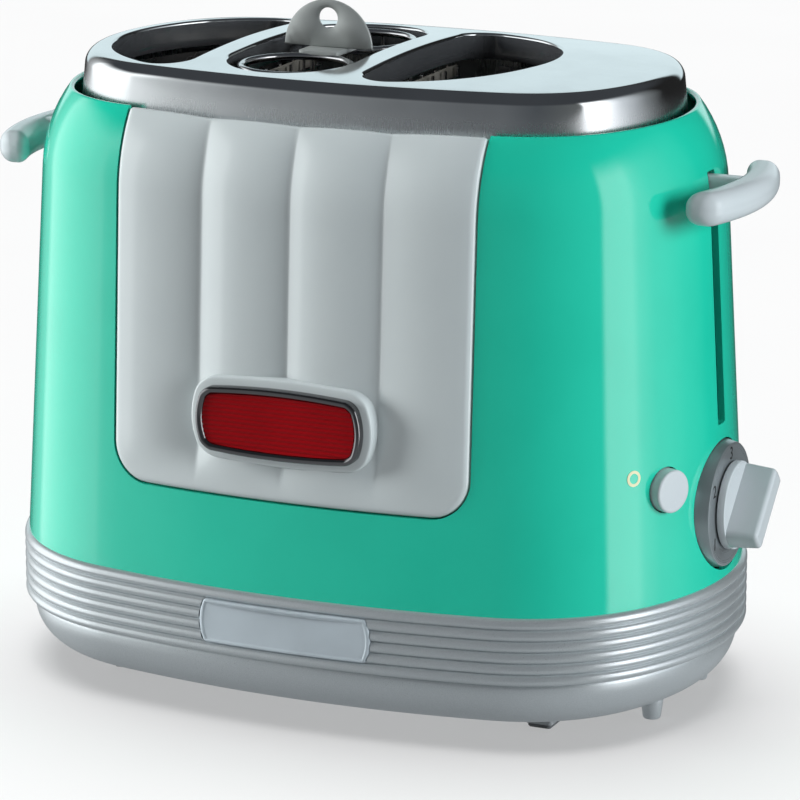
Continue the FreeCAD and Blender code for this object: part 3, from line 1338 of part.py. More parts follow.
def make_gland():
    tube = cylinder("gland_tube", S.gland_radius, GLAND_OUTER - GLAND_INNER,
                    (GLAND_X, GLAND_INNER, GLAND_HEIGHT), "y")
    collar = cylinder("gland_collar", S.gland_radius + S.shell_wall,
                      GLAND_OUTER - S.shell_wall / 2 - GLAND_NUT,
                      (GLAND_X, GLAND_NUT, GLAND_HEIGHT), "y")
    bore = cylinder("gland_bore", S.gland_bore, S.body_width, (GLAND_X, 0, GLAND_HEIGHT), "y")
    blank = fuse("gland_blank", [tube, collar])
    node("cable_gland", cut("cable_gland_solid", blank, [bore, NODES["body_shell"]]))


def export():
    """Checks every object and node, then writes one STEP file per node."""
    doc.recompute()
    for thing in doc.Objects:
        if "Invalid" in thing.State or "Error" in thing.State:
            raise RuntimeError(f"{thing.Label} failed: {thing.State}")
    for name, thing in NODES.items():
        shape = thing.Shape
        if shape.isNull() or not shape.isValid() or not shape.Solids:
            raise RuntimeError(f"{name} has no valid solid")
    os.makedirs("parts", exist_ok=True)
    for name, thing in NODES.items():
        thing.Shape.exportStep(f"parts/{name}.step")
    print(f"{len(NODES)} nodes written")


for make in (
        make_base_ring, make_nameplate, make_base_pan, make_base_screws, make_feet,
        make_body_shell, make_front_panel, make_badge, make_top_cover, make_collars,
        make_chassis_floor,
        make_bun_liners, make_heaters, make_guards, make_chassis_plates, make_guide_rods,
        make_carriage_frame, make_slide_blocks, make_platforms, make_levers, make_springs,
        make_magnet, make_basket, make_dial_ring, make_timer, make_knob, make_button,
        make_crumb_tray, make_gland):
    make()
export()
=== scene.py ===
"""Looks of a hot dog toaster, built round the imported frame.

Metres, +Z up, controls at +X, fluted panel facing -Y.  Each sub-assembly is a class that
holds its sizes, builds its meshes and dresses them; each finish is a frozen dataclass.
"""
import logging
import math
from dataclasses import dataclass, field
from enum import Enum, auto
from typing import Any, Iterable, Sequence

import bmesh
import bpy
import numpy as np
from mathutils import Matrix, Vector
from mathutils.geometry import delaunay_2d_cdt


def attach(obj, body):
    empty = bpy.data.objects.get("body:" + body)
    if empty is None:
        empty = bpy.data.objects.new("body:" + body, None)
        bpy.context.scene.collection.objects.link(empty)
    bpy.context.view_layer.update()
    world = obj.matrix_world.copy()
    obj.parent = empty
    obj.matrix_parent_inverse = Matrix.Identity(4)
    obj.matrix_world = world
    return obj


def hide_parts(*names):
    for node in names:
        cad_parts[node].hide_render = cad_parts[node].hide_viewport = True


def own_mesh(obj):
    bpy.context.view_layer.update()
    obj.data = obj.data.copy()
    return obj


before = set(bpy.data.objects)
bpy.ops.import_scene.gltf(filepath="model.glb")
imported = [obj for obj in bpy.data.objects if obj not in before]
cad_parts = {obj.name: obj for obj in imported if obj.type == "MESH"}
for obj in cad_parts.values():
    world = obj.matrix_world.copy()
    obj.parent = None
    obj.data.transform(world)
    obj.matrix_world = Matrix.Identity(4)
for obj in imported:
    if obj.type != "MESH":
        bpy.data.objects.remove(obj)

LOG = logging.getLogger("toaster")
MM = 0.001
DIAL_HEIGHT = 78.75  # of the dial's middle, in millimetres
MIRROR_BLEND = 0.004  # metres either side of a height, over which brushed turns to polished
POLISHED = 0.3  # share of the brushed roughness that is left where it is polished
BUMP = 0.35  # strength of every grain
SMOOTH = 34.0  # edges that turn by more than this many degrees stay crisp
Colour = tuple[float, float, float]
Point2 = tuple[float, float]
Pair = tuple[float, float]
Triple = tuple[float, float, float]
Quad = tuple[float, float, float, float]


# ---- shader arithmetic ------------------------------------------------------------------


class Wire:
    """A number socket in a material, which adds Math nodes as it is worked with."""

    def __init__(self, shader: "Shader", socket: bpy.types.NodeSocket) -> None:
        """Wraps a socket.

        Args:
            shader: The material being built.
            socket: The output socket that carries the value.
        """
        self.shader = shader
        self.socket = socket

    def _math(self, operation: str, first: Any, second: Any = 0.0) -> "Wire":
        """Adds one Math node and returns its result."""
        return self.shader.node("ShaderNodeMath", {"operation": operation},
                                {0: first, 1: second})

    def __add__(self, other: Any) -> "Wire":
        """Sum."""
        return self._math("ADD", self, other)

    __radd__ = __add__

    def __sub__(self, other: Any) -> "Wire":
        """Difference."""
        return self._math("SUBTRACT", self, other)

    def __rsub__(self, other: Any) -> "Wire":
        """Difference, reflected."""
        return self._math("SUBTRACT", other, self)

    def __mul__(self, other: Any) -> "Wire":
        """Product."""
        return self._math("MULTIPLY", self, other)

    def smooth(self, low: float, high: float, start: float = 0.0, stop: float = 1.0) -> "Wire":
        """Maps low..high smoothly to start..stop.

        Args:
            low: Value that gives start.
            high: Value that gives stop.
            start: Result at low.
            stop: Result at high.

        Returns:
            The mapped value.
        """
        return self.shader.node(
            "ShaderNodeMapRange", {"interpolation_type": "SMOOTHSTEP"},
            {"Value": self, "From Min": low, "From Max": high, "To Min": start, "To Max": stop})


class Shader:
    """The node tree of one material or world, built by calls."""

    def __init__(self, name: str, store: Any = None) -> None:
        """Starts an empty tree.

        Args:
            name: The name of the material or world.
            store: Where it is kept; the materials unless said otherwise.
        """
        self.material = (bpy.data.materials if store is None else store).new(name)
        self.material.use_nodes = True
        self.tree = self.material.node_tree
        self.tree.nodes.clear()

    def node(self, kind: str, settings: dict[str, Any] | None = None,
             inputs: dict[int | str, Any] | None = None, output: int | str = 0) -> Wire:
        """Adds a node.

        Args:
            kind: The node's type.
            settings: Attributes, set before the sockets; "stops" fills a colour ramp.
            inputs: Values or wires by socket name, identifier or number.
            output: Which output to return.

        Returns:
            A wire from that output.
        """
        node = self.tree.nodes.new(kind)
        for key, value in (settings or {}).items():
            if key == "stops":
                marks = node.color_ramp.elements
                marks.remove(marks[-1])
                marks[0].position, marks[0].color = value[0][0], (*value[0][1], 1.0)
                for place, colour in value[1:]:
                    marks.new(place).color = (*colour, 1.0)
            else:
                setattr(node, key, value)
        for key, value in (inputs or {}).items():
            socket = self._socket(node.inputs, key)
            if isinstance(value, Wire):
                self.tree.links.new(value.socket, socket)
            elif socket.type == "RGBA" and len(value) == 3:
                socket.default_value = (*value, 1.0)
            else:
                socket.default_value = value
        return Wire(self, self._socket(node.outputs, output))

    @staticmethod
    def _socket(sockets: Any, key: int | str) -> bpy.types.NodeSocket:
        """Finds a socket by number, identifier or name.

        Args:
            sockets: A node's inputs or outputs.
            key: The socket's number, identifier or name.

        Returns:
            The socket.
        """
        if isinstance(key, int):
            return sockets[key]
        for socket in sockets:
            if socket.identifier == key:
                return socket
        return sockets[key]

    def place(self, scale: Sequence[float] = (1, 1, 1)) -> Wire:
        """Object coordinates, scaled."""
        raw = self.node("ShaderNodeTexCoord", output="Object")
        return self.node("ShaderNodeMapping", {}, {"Vector": raw, "Scale": scale})

    def axis(self, letter: str, vector: Wire) -> Wire:
        """One coordinate of a vector."""
        return self.node("ShaderNodeSeparateXYZ", {}, {"Vector": vector}, letter)

    def noise(self, scale: float, vector: Wire | None = None, detail: float = 2.0,
              roughness: float = 0.5) -> Wire:
        """Soft noise between 0 and 1.

        Args:
            scale: How fine it is.
            vector: Where it is read; object coordinates unless said otherwise.
            detail: How many finer layers it has.
            roughness: How strong the finer layers are.

        Returns:
            The value.
        """
        return self.node("ShaderNodeTexNoise", {"noise_dimensions": "3D"}, {
            "Vector": vector or self.place(), "Scale": scale, "Detail": detail,
            "Roughness": roughness})

    def mix(self, factor: Any, first: Any, second: Any) -> Wire:
        """Blends two colours."""
        return self.node("ShaderNodeMix", {"data_type": "RGBA"}, {
            "Factor_Float": factor, "A_Color": first, "B_Color": second}, "Result_Color")

    def bump(self, height: Wire, distance: float) -> Wire:
        """Normals from a height; distance is in metres."""
        return self.node("ShaderNodeBump", {}, {
            "Height": height, "Strength": BUMP, "Distance": distance})

    def surface(self, **inputs: Any) -> bpy.types.Material:
        """Ends the material in a Principled shader.

        Args:
            **inputs: Principled sockets, with spaces written as underscores.

        Returns:
            The finished material.
        """
        named = {key.replace("_", " "): value for key, value in inputs.items()}
        return self.end(self.node("ShaderNodeBsdfPrincipled", {}, named))

    def end(self, lit: Wire, kind: str = "ShaderNodeOutputMaterial") -> Any:
        """Ends the tree in an output node, and returns the material or world.

        Args:
            lit: The shader that the tree ends with.
            kind: The type of the output node.

        Returns:
            The material or world.
        """
        out = self.tree.nodes.new(kind)
        self.tree.links.new(lit.socket, out.inputs["Surface"])
        return self.material


# ---- finishes --------------------------------------------------------------------------


@dataclass(frozen=True)
class Relief:
    """The noise of a grain.

    scale, detail and stretch shape it, spread is how much it changes roughness, and depth is
    in metres.  spots is a noise of its own for the second colour: scale, detail, roughness,
    and the values where that colour starts and is full.
    """

    scale: float
    detail: float
    spread: float
    depth: float
    stretch: Triple = (1.0, 1.0, 1.0)
    spots: tuple[float, float, float, float, float] | None = None


class Grain(Enum):
    """What the surface of a finish is like up close."""

    ORANGE_PEEL = Relief(260.0, 1.0, 0.0, 0.00002)
    FLAKES = Relief(3600.0, 2.0, 0.10, 0.00003, spots=(5200.0, 1.0, 0.5, 0.35, 0.7))
    BRUSHED_ALONG = Relief(300.0, 3.0, 0.16, 0.00001, (0.05, 6.0, 6.0))
    BRUSHED_ROUND = Relief(300.0, 3.0, 0.14, 0.000012, (0.12, 0.12, 8.0))
    BRUSHED_UP = Relief(300.0, 2.0, 0.05, 0.000001, (6.0, 6.0, 0.1))
    SPUN_FACE = Relief(2600.0, 2.0, 0.16, 0.000012)
    MOULDED = Relief(1500.0, 2.0, 0.05, 0.00001)
    SHEET = Relief(90.0, 4.0, 0.12, 0.00002, (1.0, 1.0, 3.0))
    MICA = Relief(240.0, 5.0, 0.1, 0.00003, spots=(130.0, 5.0, 0.7, 0.4, 0.62))
    OXIDE = Relief(900.0, 3.0, 0.2, 0.00002, spots=(420.0, 4.0, 0.5, 0.35, 0.65))


@dataclass(frozen=True)
class Finish:
    """A surface finish that can make its material."""

    name: str
    colour: Colour
    grain: Grain
    roughness: float = 0.4
    metallic: float = 0.0
    coat: float = 0.0
    second: Colour | None = None
    wear: float = 0.06
    shine: float = 0.5
    mirror_above: float | None = None

    def material(self) -> bpy.types.Material:
        """The finish's material, made on first use.

        Returns:
            The material.
        """
        known = bpy.data.materials.get(self.name)
        if known is not None:
            return known
        shader = Shader(self.name)
        relief = self.grain.value
        height = self._height(shader)
        blotch = shader.noise(38.0, detail=3.0)
        other = self.second or tuple(min(1.0, c * 0.9) for c in self.colour)
        colour = shader.mix(self._tone(shader, blotch), self.colour, other)
        rough = self.roughness + (blotch - 0.5) * self.wear + (height - 0.5) * relief.spread
        if self.mirror_above is not None:
            up = shader.axis("Z", shader.place())
            low, high = self.mirror_above - MIRROR_BLEND, self.mirror_above + MIRROR_BLEND
            rough = rough * up.smooth(low, high, 1.0, POLISHED)
            height = height * up.smooth(low, high, 1.0, 0.0)
        extra = {"Coat_Weight": self.coat, "Coat_Roughness": 0.04} if self.coat else {}
        return shader.surface(Base_Color=colour, Roughness=rough, Metallic=self.metallic,
                              Specular_IOR_Level=self.shine,
                              Normal=shader.bump(height, relief.depth), **extra)

    def _tone(self, shader: Shader, blotch: Wire) -> Wire:
        """Where the second colour shows.

        Args:
            shader: The material being built.
            blotch: Soft noise, for a grain that has no spots.

        Returns:
            0 for the first colour, 1 for the second.
        """
        if self.grain.value.spots is None:
            return blotch.smooth(0.35, 0.75)
        scale, detail, roughness, start, full = self.grain.value.spots
        return shader.noise(scale, detail=detail, roughness=roughness).smooth(start, full)

    def _height(self, shader: Shader) -> Wire:
        """The height pattern; a spun face has it in rings round the dial's middle.

        Args:
            shader: The material being built.

        Returns:
            The pattern, between 0 and 1.
        """
        relief = self.grain.value
        where = shader.place(relief.stretch)
        if self.grain is Grain.SPUN_FACE:
            up = shader.axis("Z", where) - DIAL_HEIGHT * MM
            side = shader.axis("Y", where)
            reach = shader.node("ShaderNodeMath", {"operation": "SQRT"},
                                {0: up * up + side * side})
            where = shader.node("ShaderNodeCombineXYZ", {}, {"X": reach, "Y": 0.0, "Z": 0.0})
        return shader.noise(relief.scale, where, relief.detail)


ENAMEL = Finish("turquoise_enamel", (0.014, 0.570, 0.390), Grain.ORANGE_PEEL, 0.08,
                coat=0.55, second=(0.012, 0.550, 0.375), wear=0.02)
IVORY = Finish("ivory_gloss_plastic", (0.575, 0.62, 0.625), Grain.ORANGE_PEEL, 0.08,
               coat=0.5, second=(0.56, 0.605, 0.612), wear=0.03)
LEVER_WHITE = Finish("white_lever_plastic", (0.58, 0.625, 0.645), Grain.MOULDED, 0.24,
                     coat=0.2, second=(0.56, 0.61, 0.63), wear=0.03)
SILVER = Finish("silver_base_paint", (0.60, 0.64, 0.655), Grain.FLAKES, 0.30, 0.68,
                second=(0.71, 0.745, 0.765), wear=0.04)
PLATE = Finish("nameplate_satin", (0.60, 0.67, 0.72), Grain.BRUSHED_ALONG, 0.36, 0.3)
CAP_STEEL = Finish("cover_polished_steel", (0.72, 0.735, 0.745), Grain.BRUSHED_UP, 0.27,
                   1.0, mirror_above=0.230)
DARK_CHROME = Finish("badge_dark_chrome", (0.22, 0.215, 0.22), Grain.SHEET, 0.16, 1.0)
RED = Finish("badge_red_lens", (0.30, 0.002, 0.005), Grain.MOULDED, 0.3,
             second=(0.25, 0.0015, 0.004), wear=0.03, shine=0.15)
DIAL = Finish("dial_spun_metal", (0.42, 0.46, 0.48), Grain.SPUN_FACE, 0.30, 0.75)
SHEET_STEEL = Finish("inner_sheet_steel", (0.42, 0.42, 0.43), Grain.SHEET, 0.36, 1.0)
WIRE_STEEL = Finish("bright_wire", (0.55, 0.55, 0.56), Grain.BRUSHED_ALONG, 0.24, 1.0)
WALL_STEEL = Finish("opening_dark_steel", (0.30, 0.31, 0.33), Grain.BRUSHED_ROUND, 0.16, 0.85)
LINER_STEEL = Finish("liner_steel", (0.36, 0.36, 0.38), Grain.SHEET, 0.28, 1.0)
HOOP_CHROME = Finish("hoop_chrome", (0.62, 0.62, 0.63), Grain.BRUSHED_ROUND, 0.12, 1.0)
TAB_STEEL = Finish("tab_satin_steel", (0.42, 0.44, 0.43), Grain.BRUSHED_ALONG, 0.4, 0.4)
IVORY_KNOB = Finish("ivory_knob_plastic", (0.56, 0.60, 0.62), Grain.MOULDED, 0.26,
                    coat=0.3, second=(0.54, 0.58, 0.605), wear=0.03)
BASKET_STEEL = Finish("basket_steel", (0.60, 0.60, 0.61), Grain.BRUSHED_ROUND, 0.2, 1.0)
FOOT = Finish("foot_silver_plastic", (0.46, 0.48, 0.49), Grain.MOULDED, 0.42, 0.3)
RUBBER = Finish("pad_grey_rubber", (0.16, 0.165, 0.17), Grain.MOULDED, 0.75)
BLACK = Finish("black_polymer", (0.022, 0.022, 0.024), Grain.MOULDED, 0.5)
MICA = Finish("mica_sheet", (0.20, 0.185, 0.16), Grain.MICA, 0.55, second=(0.30, 0.28, 0.25))
RIBBON = Finish("heating_ribbon_alloy", (0.28, 0.24, 0.21), Grain.OXIDE, 0.45, 1.0,
                second=(0.16, 0.13, 0.12))
IRON = Finish("magnet_iron", (0.26, 0.26, 0.27), Grain.OXIDE, 0.5, 1.0)
BOARD = Finish("circuit_laminate", (0.03, 0.16, 0.08), Grain.MOULDED, 0.4)
CREAM = Finish("cream_print", (0.80, 0.76, 0.50), Grain.MOULDED, 0.45)
INK = Finish("black_print", (0.012, 0.012, 0.012), Grain.MOULDED, 0.5)


# ---- mesh helpers ------------------------------------------------------------------------


def add(name: str, data: Any) -> bpy.types.Object:
    """Puts data into the scene as an object at the origin.

    Args:
        name: The object's name.
        data: A mesh, curve, light or camera.

    Returns:
        The object.
    """
    thing = bpy.data.objects.new(name, data)
    bpy.context.scene.collection.objects.link(thing)
    return thing


def crisp(mesh: bpy.types.Mesh, sharp: float) -> None:
    """Shades a mesh smooth, but for edges that turn by more than sharp degrees."""
    mesh.polygons.foreach_set("use_smooth", [True] * len(mesh.polygons))
    mesh.set_sharp_from_angle(angle=math.radians(sharp))


def link(name: str, mesh: bpy.types.Mesh, finish: Finish, sharp: float = SMOOTH
         ) -> bpy.types.Object:
    """Makes a scene object of a mesh in metres, dressed in a finish.

    Args:
        name: The piece's name.
        mesh: Its mesh.
        finish: What it is dressed in.
        sharp: Edges that turn by more than this many degrees stay crisp.

    Returns:
        The object.
    """
    thing = add(name, mesh)
    mesh.materials.clear()
    mesh.materials.append(finish.material())
    crisp(mesh, sharp)
    return thing


def piece(name: str, bm: bmesh.types.BMesh, finish: Finish, sharp: float = SMOOTH
          ) -> bpy.types.Object:
    """Welds a bmesh, turns its faces outward, and makes a dressed object of it.

    Args:
        name: The piece's name.
        bm: Its faces, in metres; freed here.
        finish: What it is dressed in.
        sharp: Edges that turn by more than this many degrees stay crisp.

    Returns:
        The object.
    """
    bmesh.ops.remove_doubles(bm, verts=bm.verts, dist=1e-6)
    bmesh.ops.recalc_face_normals(bm, faces=bm.faces)
    mesh = bpy.data.meshes.new(name)
    bm.to_mesh(mesh)
    bm.free()
    return link(name, mesh, finish, sharp)


def evaluated(thing: bpy.types.Object) -> bpy.types.Mesh:
    """A new mesh of an object with its modifiers, or its letters, worked out.

    Args:
        thing: The object, left as it is.

    Returns:
        The mesh.
    """
    graph = bpy.context.evaluated_depsgraph_get()
    graph.update()
    return bpy.data.meshes.new_from_object(thing.evaluated_get(graph))


def baked(thing: bpy.types.Object) -> None:
    """Turns an object's modifiers into plain mesh.

    Args:
        thing: The object, whose old mesh is removed.
    """
    mesh = evaluated(thing)
    thing.modifiers.clear()
    old = thing.data
    thing.data = mesh
    bpy.data.meshes.remove(old)


def merged(thing: bpy.types.Object, extra: bpy.types.Object) -> None:
    """Adds the extra object's mesh to a thing's, and removes the extra object.

    Args:
        thing: The piece that stays.
        extra: What is added to it.
    """
    bm = bmesh.new()
    bm.from_mesh(thing.data)
    bm.from_mesh(extra.data)
    bm.to_mesh(thing.data)
    bm.free()
    bpy.data.objects.remove(extra)


def carve(thing: bpy.types.Object, tools: Sequence[bpy.types.Object],
          operation: str = "DIFFERENCE", sharp: float = SMOOTH) -> None:
    """Cuts tools out of a piece, and removes them.

    Args:
        thing: The piece.
        tools: What is cut out of it, or kept of it.
        operation: DIFFERENCE cuts the tools out, INTERSECT keeps what they hold.
        sharp: Edges that turn by more than this many degrees stay crisp.
    """
    for tool in tools:
        modifier = thing.modifiers.new("cut", "BOOLEAN")
        modifier.operation = operation
        modifier.object = tool
        modifier.solver = "EXACT"
    baked(thing)
    for tool in tools:
        bpy.data.objects.remove(tool)
    crisp(thing.data, sharp)


@dataclass
class Contour:
    """A closed plan curve with an outward direction at each point, in millimetres."""

    points: np.ndarray
    outward: np.ndarray

    @classmethod
    def of(cls, points: Sequence[Point2]) -> "Contour":
        """A contour through points that run anticlockwise.

        Args:
            points: The points, in millimetres.

        Returns:
            The contour, with each point's direction taken from its neighbours.
        """
        spots = np.array(points, float)
        along = np.roll(spots, -1, 0) - np.roll(spots, 1, 0)
        normal = np.stack([along[:, 1], -along[:, 0]], 1)
        return cls(spots, normal / np.linalg.norm(normal, axis=1)[:, None])

    @classmethod
    def arcs(cls, parts: Sequence[tuple[Point2, float, float, float]],
             step: float = 1.5) -> "Contour":
        """A smooth chain of arcs.

        Args:
            parts: Centre, radius, first and last angle in degrees of each arc.  An arc gives
                two points or more, and leaves its end to the next one.
            step: Rough distance between points.

        Returns:
            The contour.
        """
        spots, ways = [], []
        for (cx, cy), radius, start, stop in parts:
            count = max(2, int(abs(math.radians(stop - start)) * radius / step))
            for k in range(count):
                a = math.radians(start + (stop - start) * k / count)
                spots.append((cx + radius * math.cos(a), cy + radius * math.sin(a)))
                ways.append((math.cos(a), math.sin(a)))
        return cls(np.array(spots), np.array(ways))

    def inset(self, depth: float) -> np.ndarray:
        """The curve moved inwards."""
        return self.points - self.outward * depth


def split_runs(contour: Contour, longest: float) -> Contour:
    """Splits each step into as many equal parts as longest fits into it.

    Args:
        contour: The curve.
        longest: A step is split from twice this length on.

    Returns:
        A new contour.
    """
    spots, ways = [], []
    count = len(contour.points)
    for k in range(count):
        a, b = contour.points[k], contour.points[(k + 1) % count]
        n, m = contour.outward[k], contour.outward[(k + 1) % count]
        pieces = max(1, int(np.linalg.norm(b - a) / longest))
        for j in range(pieces):
            t = j / pieces
            spots.append(a + (b - a) * t)
            way = n + (m - n) * t
            ways.append(way / np.linalg.norm(way))
    return Contour(np.array(spots), np.array(ways))


class Facing(Enum):
    """Which way a contour's plane looks."""

    UP = auto()
    FRONT = auto()
    CONTROLS = auto()


def to_space(facing: Facing, spots: np.ndarray, height: float) -> list[tuple[float, float, float]]:
    """Puts plane points in space, in metres.

    Args:
        facing: UP lays the plane flat with height along +Z; FRONT stands it up facing -Y;
            CONTROLS stands it up facing +X, seen from there.
        spots: Points of the plane.
        height: Distance of the plane along its own direction.

    Returns:
        The points.
    """
    if facing is Facing.UP:
        return [(x * MM, y * MM, height * MM) for x, y in spots]
    if facing is Facing.FRONT:
        return [(x * MM, -height * MM, y * MM) for x, y in spots]
    return [(height * MM, x * MM, y * MM) for x, y in spots]


def lace(bm: bmesh.types.BMesh, rows: Sequence[list[bmesh.types.BMVert]], wrap: bool = True
         ) -> None:
    """Joins each row of vertices to the next with four-sided faces.

    Args:
        bm: Where the faces go.
        rows: Rows of equal length.
        wrap: Whether each row closes on itself.
    """
    count = len(rows[0])
    for one, two in zip(rows, rows[1:]):
        for k in range(count if wrap else count - 1):
            j = (k + 1) % count
            bm.faces.new((one[k], one[j], two[j], two[k]))


def rim_of(grid: list[list[bmesh.types.BMVert]]) -> list[bmesh.types.BMVert]:
    """The border of a grid of vertices, in order round it."""
    return (grid[0] + [row[-1] for row in grid[1:]] + grid[-1][-2::-1]
            + [row[0] for row in grid[-2:0:-1]])


def sweep(bm: bmesh.types.BMesh, contour: Contour, profile: Sequence[Point2],
          facing: Facing = Facing.UP, closed: bool = True) -> list[list[bmesh.types.BMVert]]:
    """Carries a profile of (inset, height) points round a contour.

    Args:
        bm: Where the faces go.
        contour: The curve.
        profile: The section's points.
        facing: The contour's plane.
        closed: Whether the profile's last point joins its first.

    Returns:
        One ring of vertices per profile point.
    """
    rings = [[bm.verts.new(p) for p in to_space(facing, contour.inset(inset), height)]
             for inset, height in profile]
    lace(bm, rings + rings[:1] if closed else rings)
    return rings


def fill(bm: bmesh.types.BMesh, rings: Iterable[list[bmesh.types.BMVert]]) -> None:
    """Closes the flat area between rings of vertices.

    Args:
        bm: Where the faces go.
        rings: The outer ring and any holes, each in order.
    """
    edges = set()
    for ring in rings:
        for k, vert in enumerate(ring):
            edge = bm.edges.get((vert, ring[(k + 1) % len(ring)]))
            edges.add(edge or bm.edges.new((vert, ring[(k + 1) % len(ring)])))
    bmesh.ops.triangle_fill(bm, use_beauty=True, use_dissolve=False, edges=list(edges))


def plug(bm: bmesh.types.BMesh, contour: Contour, profile: Sequence[Point2],
         facing: Facing = Facing.UP) -> None:
    """Adds a closed form: an open profile round a contour, with both ends filled.

    Args:
        bm: Where the faces go.
        contour: The curve.
        profile: The section's (inset, height) points.
        facing: The contour's plane.
    """
    rings = sweep(bm, contour, profile, facing, closed=False)
    fill(bm, [rings[0]])
    fill(bm, [rings[-1]])


def bend(centre: Point2, radius: float, start: float, stop: float, count: int) -> list[Point2]:
    """Points of an arc in a profile, by angle in degrees.

    Args:
        centre: The arc's centre.
        radius: Its radius.
        start: First angle.
        stop: Last angle.
        count: Number of steps.

    Returns:
        The points, both ends included.
    """
    return [(centre[0] + radius * math.cos(math.radians(start + (stop - start) * k / count)),
             centre[1] + radius * math.sin(math.radians(start + (stop - start) * k / count)))
            for k in range(count + 1)]


def solid(name: str, contour: Contour, profile: Sequence[Point2], finish: Finish,
          facing: Facing = Facing.UP, capped: bool = True, sharp: float = SMOOTH
          ) -> bpy.types.Object:
    """A closed piece: a profile carried round a contour.

    Args:
        name: The piece's name.
        contour: The curve.
        profile: The section's (inset, height) points.
        finish: What it is dressed in.
        facing: The contour's plane.
        capped: Whether both ends are filled; if not, the profile closes on itself.
        sharp: Edges that turn by more than this many degrees stay crisp.

    Returns:
        The object.
    """
    bm = bmesh.new()
    (plug if capped else sweep)(bm, contour, profile, facing)
    return piece(name, bm, finish, sharp)


def four(x: float, y: float) -> list[Point2]:
    """Four places, mirrored across both axes."""
    return [(-x, -y), (-x, y), (x, -y), (x, y)]


def round_plan(radius: float, centre: Point2 = (0.0, 0.0), count: int = 96) -> Contour:
    """A circle."""
    step = 2 * math.pi * radius / count
    return Contour.arcs([(centre, radius, 0, 360)], step * 0.999)


def block_plan(width: float, height: float, corner: float, centre: Point2 = (0.0, 0.0),
               step: float = 0.5) -> Contour:
    """A rounded rectangle.

    Args:
        width: Size across.
        height: Size along.
        corner: Radius of the corners.
        centre: Its middle.
        step: Rough distance between points on the corners.

    Returns:
        The contour.
    """
    w, h = width / 2 - corner, height / 2 - corner
    cx, cy = centre
    return split_runs(Contour.arcs([
        ((cx + w, cy + h), corner, 0, 90), ((cx - w, cy + h), corner, 90, 180),
        ((cx - w, cy - h), corner, 180, 270), ((cx + w, cy - h), corner, 270, 360)], step),
        max(step * 3, 2.0))


def settle(thing: bpy.types.Object, body: str, slot: str, *nodes: str) -> None:
    """Puts a finished piece on its body in place of CAD nodes.

    Args:
        thing: The piece.
        body: The CAD body that it rides on.
        slot: The record's material slot; not used.
        *nodes: The CAD nodes that it stands for.
    """
    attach(thing, body)
    if nodes:
        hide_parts(*nodes)
    LOG.info("%s rides %s: %d faces", thing.name, body, len(thing.data.polygons))


# ---- Geometry Nodes ----------------------------------------------------------------------


